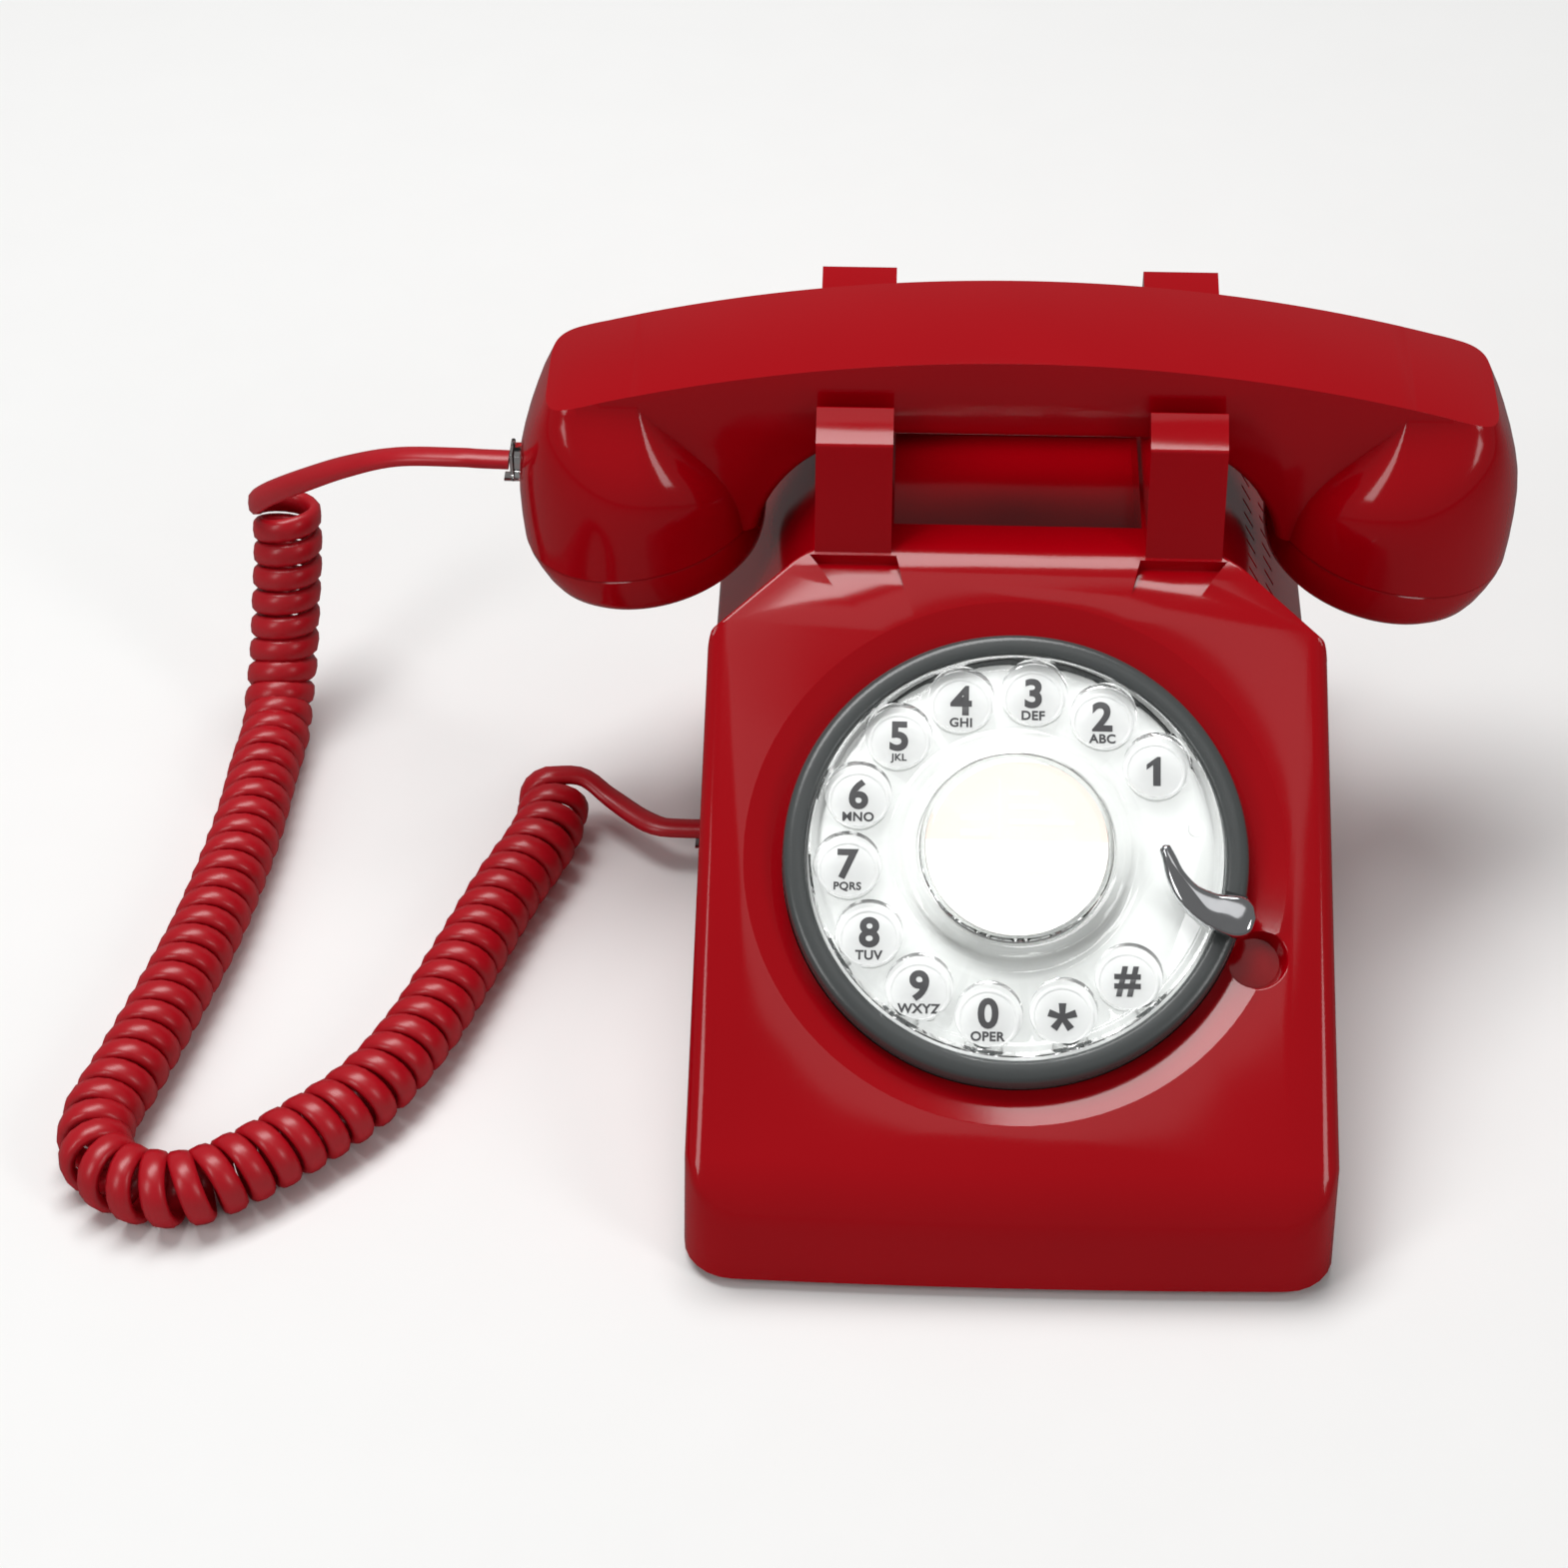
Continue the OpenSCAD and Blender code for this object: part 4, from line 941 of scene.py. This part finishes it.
# %% Numbers and letters
def printed(text, height, x, y, z, bold, squeeze=1.0):
    """A line of print as a bmesh, centred on (x, y) in the dial's coordinates."""
    curve = bpy.data.curves.new("print", "FONT")
    curve.body, curve.size, curve.offset = text, height / 0.73, bold * height
    curve.extrude, curve.resolution_u = 0.02, 5
    curve.space_character = 1.06
    thing = bpy.data.objects.new("print", curve)
    bpy.context.scene.collection.objects.link(thing)
    shape = thing.evaluated_get(bpy.context.evaluated_depsgraph_get()).to_mesh()
    bm = bmesh.new()
    bm.from_mesh(shape)
    bpy.data.objects.remove(thing)
    bpy.data.curves.remove(curve)
    xs, ys = [v.co.x for v in bm.verts], [v.co.y for v in bm.verts]
    bmesh.ops.translate(bm, vec=(-(min(xs) + max(xs)) / 2, -(min(ys) + max(ys)) / 2, 0), verts=bm.verts)
    fit = height / (max(ys) - min(ys))
    bmesh.ops.scale(bm, vec=(squeeze * fit, fit, 1), verts=bm.verts)
    bmesh.ops.translate(bm, vec=(x, y, z), verts=bm.verts)
    return bm


def merged(parts):
    """Several meshes as one, side by side."""
    whole = bmesh.new()
    for part in parts:
        mesh = bpy.data.meshes.new("part")
        part.to_mesh(mesh)
        part.free()
        whole.from_mesh(mesh)
        bpy.data.meshes.remove(mesh)
    return whole


faces = [("1", ""), ("2", "ABC"), ("3", "DEF"), ("4", "GHI"), ("5", "JKL"), ("6", "MNO"),
         ("7", "PQRS"), ("8", "TUV"), ("9", "WXYZ"), ("0", "OPER"), ("*", ""), ("#", "")]
PRINT_Z = 0.27
FLAT = Matrix.Rotation(radians(-90), 4, "X")
ONE = [(-1.9, 1.55), (0.5, 3.4), (1.25, 3.4), (1.25, -3.4), (-0.45, -3.4), (-0.45, 1.5), (-1.9, 0.3)]
ARM = [(-0.55, 0), (0.55, 0), (0.85, 3.2), (-0.85, 3.2)]
print_parts = []
for (number, letters), (x, y) in zip(faces, hole_spots):
    tall = {"#": 6.9}.get(number, 7.0)
    high = y + (1.5 if letters else 0.2)
    if number == "1":
        # This face's 1 is a bare stroke, so it gets its flag here.
        at_number = Matrix.Translation((x, high, PRINT_Z))
        print_parts.append(placed(prism(ONE, "y", -0.02, 0.02), at_number @ FLAT))
    elif number == "*":
        # Five wedges make a large star. Each lies a hair higher, so that no two faces coincide.
        for k in range(5):
            at_arm = Matrix.Translation((x, high - 0.4, PRINT_Z + 0.001 * k))
            turn = Matrix.Rotation(radians(72 * k), 4, "Z")
            print_parts.append(placed(prism(ARM, "y", -0.02, 0.02), at_arm @ turn @ FLAT))
    else:
        print_parts.append(printed(number, tall, x, high, PRINT_Z, 0.045))
    if letters:
        print_parts.append(printed(letters, 2.2, x, y - 3.7, PRINT_Z, 0.04, 1.02))
new_piece("dial_numbers", placed(merged(print_parts), AT_DIAL), number_ink, "base", "number_face")

# %% [markdown]
# ## The finger wheel
#
# The wheel is one acrylic moulding: a flat disc with a thick rounded rim, twelve holes and a raised
# ring round the button. Its disc is turned, the holes are drilled, and a narrow bevel on every edge
# gives the bright outlines by which a clear part is seen.

# %% Finger wheel
wheel = turned([(WHEEL_R, 3.3), (WHEEL_R, 5.6), (WHEEL_R - 0.5, 6.5), (WHEEL_R - 1.4, 6.8),
                (WHEEL_R - 2.2, 6.5), (WHEEL_R - 2.6, 6.2), (29.0, 6.2), (27.6, 6.5), (26.2, 7.4),
                (25.4, 9.0), (24.8, 9.5), (23.2, 9.5), (22.3, 9.2), (22.0, 8.6), (22.0, 6.2), (4.2, 6.2),
                (4.2, 3.0), (WHEEL_R - 0.3, 3.0)], 128)
for x, y in hole_spots:
    wheel = combined(wheel, placed(rod(HOLE_R, 20, 48), Matrix.Translation((x, y, 0))), "DIFFERENCE")
bmesh.ops.dissolve_limit(wheel, angle_limit=radians(0.4), verts=wheel.verts, edges=wheel.edges)
wheel = finished(wheel, ("BEVEL", {"width": 0.45, "segments": 3, "limit_method": "ANGLE",
                                   "angle_limit": radians(60), "use_clamp_overlap": True}))
for x, y in ((39.9, 6.0), (-15.6, -38.4)):
    pip = turned([(0, 6.0), (2.0, 6.0), (1.9, 6.35), (1.2, 6.5), (0, 6.5)], 24)
    wheel = combined(wheel, placed(pip, Matrix.Translation((x, y, 0))), "UNION")
new_piece("finger_wheel_clear", placed(wheel, AT_DIAL), acrylic, "dial", "clear_plastic", "finger_wheel",
          sharp_above=40)

# %% [markdown]
# ## The button and its card
#
# The middle of the dial is one large push button: a clear cap, crowned a little, over a printed
# card. The card is pale pink above and white below. Its words are left out, and a few faint bars
# stand for them.

# %% Button cap and card
cap = turned([(0, 11.5), (12, 11.42), (18.5, 11.2), (20.4, 10.9), (21.2, 10.3), (21.5, 9.5), (21.5, 7.9),
              (20.2, 7.9), (20.2, 9.95), (0, 10.0)], 128)
new_piece("button_cap_clear", placed(cap, AT_DIAL), acrylic, "centre_button", "clear_plastic", "button_cap",
          sharp_above=40)

card_print, tree, shader = new_material("coated_card_pink_and_white", IOR=1.5)
place_on = add_node(tree, "TexCoord").outputs["Object"]
on_dial = add_node(tree, "Mapping", {"Vector": place_on}, vector_type="TEXTURE",
                   Location=0.001 * AT_DIAL.translation, Rotation=(SLOPE, 0, 0))
up_card = add_node(tree, "SeparateXYZ", {"Vector": on_dial.outputs[0]})
upper_half = add_node(tree, "MapRange", {"Value": up_card.outputs["Y"]}, From_Min=0.0012, From_Max=0.0014)
fibre = add_node(tree, "TexNoise", {"Vector": on_dial.outputs[0]}, Scale=1500.0, Detail=3.0)
halves = tint(tree, upper_half.outputs[0], "#e6e4e2", "#e6cbc3")
tree.links.new(halves, shader.inputs["Base Color"])
tree.links.new(spread(tree, fibre.outputs[0], 0.4, 0.55), shader.inputs["Roughness"])
fibres = add_node(tree, "Bump", {"Height": fibre.outputs[0]}, Strength=0.05, Distance=0.0001)
tree.links.new(fibres.outputs[0], shader.inputs["Normal"])
card = turned([(0, 9.6), (20.0, 9.6), (20.0, 9.72), (0, 9.72)], 96)
new_piece("label_card_cut", placed(card, AT_DIAL), card_print, "centre_button", "card", "label_card")

BARS_LOW, BARS_HIGH = 9.715, 9.76
bars = []
for low_x, high_x, y, tall in (
        (-12.5, -6.2, 6.4, 1.3), (-12.5, -6.2, 3.0, 1.6), (-1.8, 4.6, 12.2, 1.2), (-1.8, 7.2, 9.0, 1.2),
        (-1.8, 12.6, 5.6, 1.2), (-12.5, -5.6, -0.4, 1.0), (-0.4, 10.6, -0.4, 1.0), (-12.6, 12.6, -5.2, 2.0)):
    bars.append(block((low_x, y - tall / 2, BARS_LOW), (high_x, y + tall / 2, BARS_HIGH)))
bars.append(block((-4.05, 2.0, BARS_LOW), (-3.8, 15.5, BARS_HIGH)))
new_piece("label_bars", placed(merged(bars), AT_DIAL), faint_ink, "centre_button", "card")

# %% [markdown]
# ## The finger stop
#
# The stop is a chrome-plated casting, shaped like a long drop with a hooked tip. Its middle line is
# a smooth curve, and a half width goes with each point of it. The outline is extruded, and its top
# is inset and raised three times, until it is nearly round.

# %% Finger stop
stop_points = [(32.4, 1.6, 0), (33.6, -1.2, 0), (35.2, -5.6, 0), (38.2, -9.8, 0), (43.2, -13.0, 0),
               (48.4, -14.4, 0), (52.6, -14.9, 0)]
stop_line = smooth_line(stop_points, 0.7)


def stop_half_width(t):
    """Half width along the stop: a fine tip, a slim neck and a broad head."""
    body = 1.2 + 4.4 * max(0.0, t) ** 1.2
    tip = min(1.0, sqrt(max(0.0, 1 - (1 - min(1, t / 0.05)) ** 2)) + 0.25)
    head = sqrt(max(0.0, 1 - max(0.0, (t - 0.80) / 0.20) ** 2))
    return body * tip * head


left, right_side = [], []
for i, point in enumerate(stop_line):
    t = i / (len(stop_line) - 1)
    ahead = heading(stop_line, i)
    out = Vector((-ahead.y, ahead.x, 0)) * stop_half_width(t)
    left.append(point + out)
    right_side.append(point - out)
stop = extruded([(p.x, p.y, 7.2) for p in left + right_side[-2::-1]], (0, 0, 1.5))
top = [f for f in stop.faces if f.normal.z > 0.9]
for depth, rise in ((0.30, 0.42), (0.42, 0.30), (0.5, 0.12)):
    bmesh.ops.inset_region(stop, faces=top, thickness=depth, depth=0, use_even_offset=False)
    bmesh.ops.translate(stop, vec=(0, 0, rise), verts=list({v for f in top for v in f.verts}))
new_piece("finger_stop_cast", placed(stop, AT_DIAL), chrome, "base", "chrome", "finger_stop", sharp_above=50)

# %% [markdown]
# ## The modular plugs
#
# Both ends of the cord carry a small clear plug: a polycarbonate block with a springy latch and
# gold contacts. Only the last millimetres show outside the sockets.

# %% Plugs
def plug(name, frame_at, body, node):
    """A plug and its contacts, made along z and placed by its frame."""
    parts = [finished(block(low, high), ("BEVEL", {"width": width, "segments": segments}))
             for low, high, width, segments in (
                 ((-3.1, -3.1, -9), (3.1, 3.1, 2.8), 0.4, 3),
                 ((-5.2, -1.6, -6), (-4.6, 1.6, 4.6), 0.15, 2),
                 ((-5.2, -1.6, -7.4), (-2.6, 1.6, -5.8), 0.3, 2),
                 ((-3.9, -3.5, 1.8), (3.9, 3.5, 2.8), 0.35, 3))]
    piece = new_piece(name, placed(merged(parts), frame_at), acrylic, body, "clear_plastic", node,
                      sharp_above=40)
    pins = merged([block((3.0, y - 0.25, -8.6), (3.3, y + 0.25, -4.5)) for y in (-1.5, -0.5, 0.5, 1.5)])
    contacts = new_piece(name + "_contacts", placed(pins, frame_at), gold_contact, body, "brass")
    return piece, contacts


OUTWARDS = Matrix.Rotation(radians(-90), 4, "Y")
at_handset = Matrix.Translation((-HANDSET_L / 2 + 0.8, CRADLE_Y, SEAM_Z + 12)) @ OUTWARDS
at_base = Matrix.Translation((-BODY_W / 2 + 0.6, SOCKET_Y, SOCKET_Z)) @ OUTWARDS
handset_plug = plug("handset_plug_clear", at_handset, "handset", "handset_plug")
base_plug = plug("base_plug_clear", at_base, "base", "base_plug")

# %% [markdown]
# ## Finishes for the parts inside
#
# The parts inside keep their own shapes, because their solids already show what they are. Each one
# takes the finish of its real material: zinc-plated steel, brass gears, nylon, solder mask, rubber
# and paper.

# %% Materials of the remaining solids
finish_of = {
    black_abs: ("base_plate", "line_socket", "base_socket", "hook_switch", "pulse_contacts", "button_switch",
                "transmitter_capsule", "handset_socket", "finger_stop_foot"),
    foot_rubber: ("rubber_feet",),
    board_green: ("circuit_board",),
    cone_grey: ("speaker_cone",),
    nylon_white: ("hook_plungers", "button_carrier", "governor_pinion"),
    brass: ("drive_gear", "governor_weights", "wheel_hub", "dial_bearing"),
    zinc_steel: ("base_screws", "ballast_weight", "board_screws", "loudspeaker", "hook_bracket", "hook_pin",
                 "dial_frame", "dial_frame_screws", "mechanism_bridge", "return_spring", "governor_cup",
                 "dial_shaft", "governor_shaft", "button_spring", "hook_yoke", "hook_lever",
                 "receiver_capsule", "handset_weight"),
}
for material, nodes in finish_of.items():
    for node in nodes:
        for place_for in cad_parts[node].material_slots:
            place_for.material = material
shown = [n for n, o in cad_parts.items() if not o.hide_render]
print("solids shown as packed:", len(shown), "without a finish:",
      [n for n in shown if all(n not in nodes for nodes in finish_of.values())])

# %% [markdown]
# ## Floor and light
#
# The telephone stands on a plain pale floor. A large softbox hangs above and behind it, where the
# lower half of the dial's funnel mirrors it as a broad pale band, and a dimmer one overhead lifts
# the top of the sloping face. Two tall panels at the sides draw the upright highlights on the round
# ends of the handset. The room itself is a soft even white, kept low so that the red stays deep.

# %% Floor and lamps
floor_mesh = bmesh.new()
bmesh.ops.create_grid(floor_mesh, x_segments=8, y_segments=8, size=2500)
floor_white = moulded("white_paper_sweep", "#f4f4f3", "#f2f2f1", 0.9, 3.0, 0.02, IOR=1.3)
# Glossy rays see the floor as a painted mid grey: a painted darker reflection of a white floor, which keeps
# the red deep.
floor_tree = floor_white.node_tree
floor_end = next(n for n in floor_tree.nodes if n.bl_idname == "ShaderNodeOutputMaterial")
in_gloss = add_node(floor_tree, "LightPath").outputs["Is Glossy Ray"]
painted_reflection_grey = add_node(floor_tree, "BsdfDiffuse", Color=linear("#6e6c6c"))
direct = floor_end.inputs[0].links[0].from_socket
floor_with_painted_reflection = add_node(floor_tree, "MixShader", {0: in_gloss, 1: direct, 2: painted_reflection_grey.outputs[0]})
floor_tree.links.new(floor_with_painted_reflection.outputs[0], floor_end.inputs[0])
floor = mesh_object("floor", floor_mesh, floor_white)

world = bpy.data.worlds.new("room")
world.use_nodes = True
world.node_tree.nodes["Background"].inputs["Color"].default_value = linear("#ffffff")
world.node_tree.nodes["Background"].inputs["Strength"].default_value = 0.19
bpy.context.scene.world = world
bpy.context.scene.view_settings.view_transform = "Standard"


def softbox(name, place, size, watts, aim=(0, 0, 0.05)):
    data = bpy.data.lights.new(name, "AREA")
    data.shape, data.size, data.size_y, data.energy = "RECTANGLE", size[0], size[1], watts
    lamp = bpy.data.objects.new(name, data)
    bpy.context.scene.collection.objects.link(lamp)
    lamp.location = place
    lamp.rotation_euler = (Vector(place) - Vector(aim)).to_track_quat("Z", "Y").to_euler()
    return lamp


softbox("softbox_key", (-0.28, 0.34, 1.50), (1.25, 0.60), 19)
softbox("softbox_front_edge", (-0.1, -0.16, 1.52), (1.1, 0.34), 0.9)
softbox("panel_left", (-0.80, -0.62, 0.72), (0.26, 0.55), 2.2)
softbox("panel_right", (0.80, -0.62, 0.72), (0.26, 0.55), 2.2)
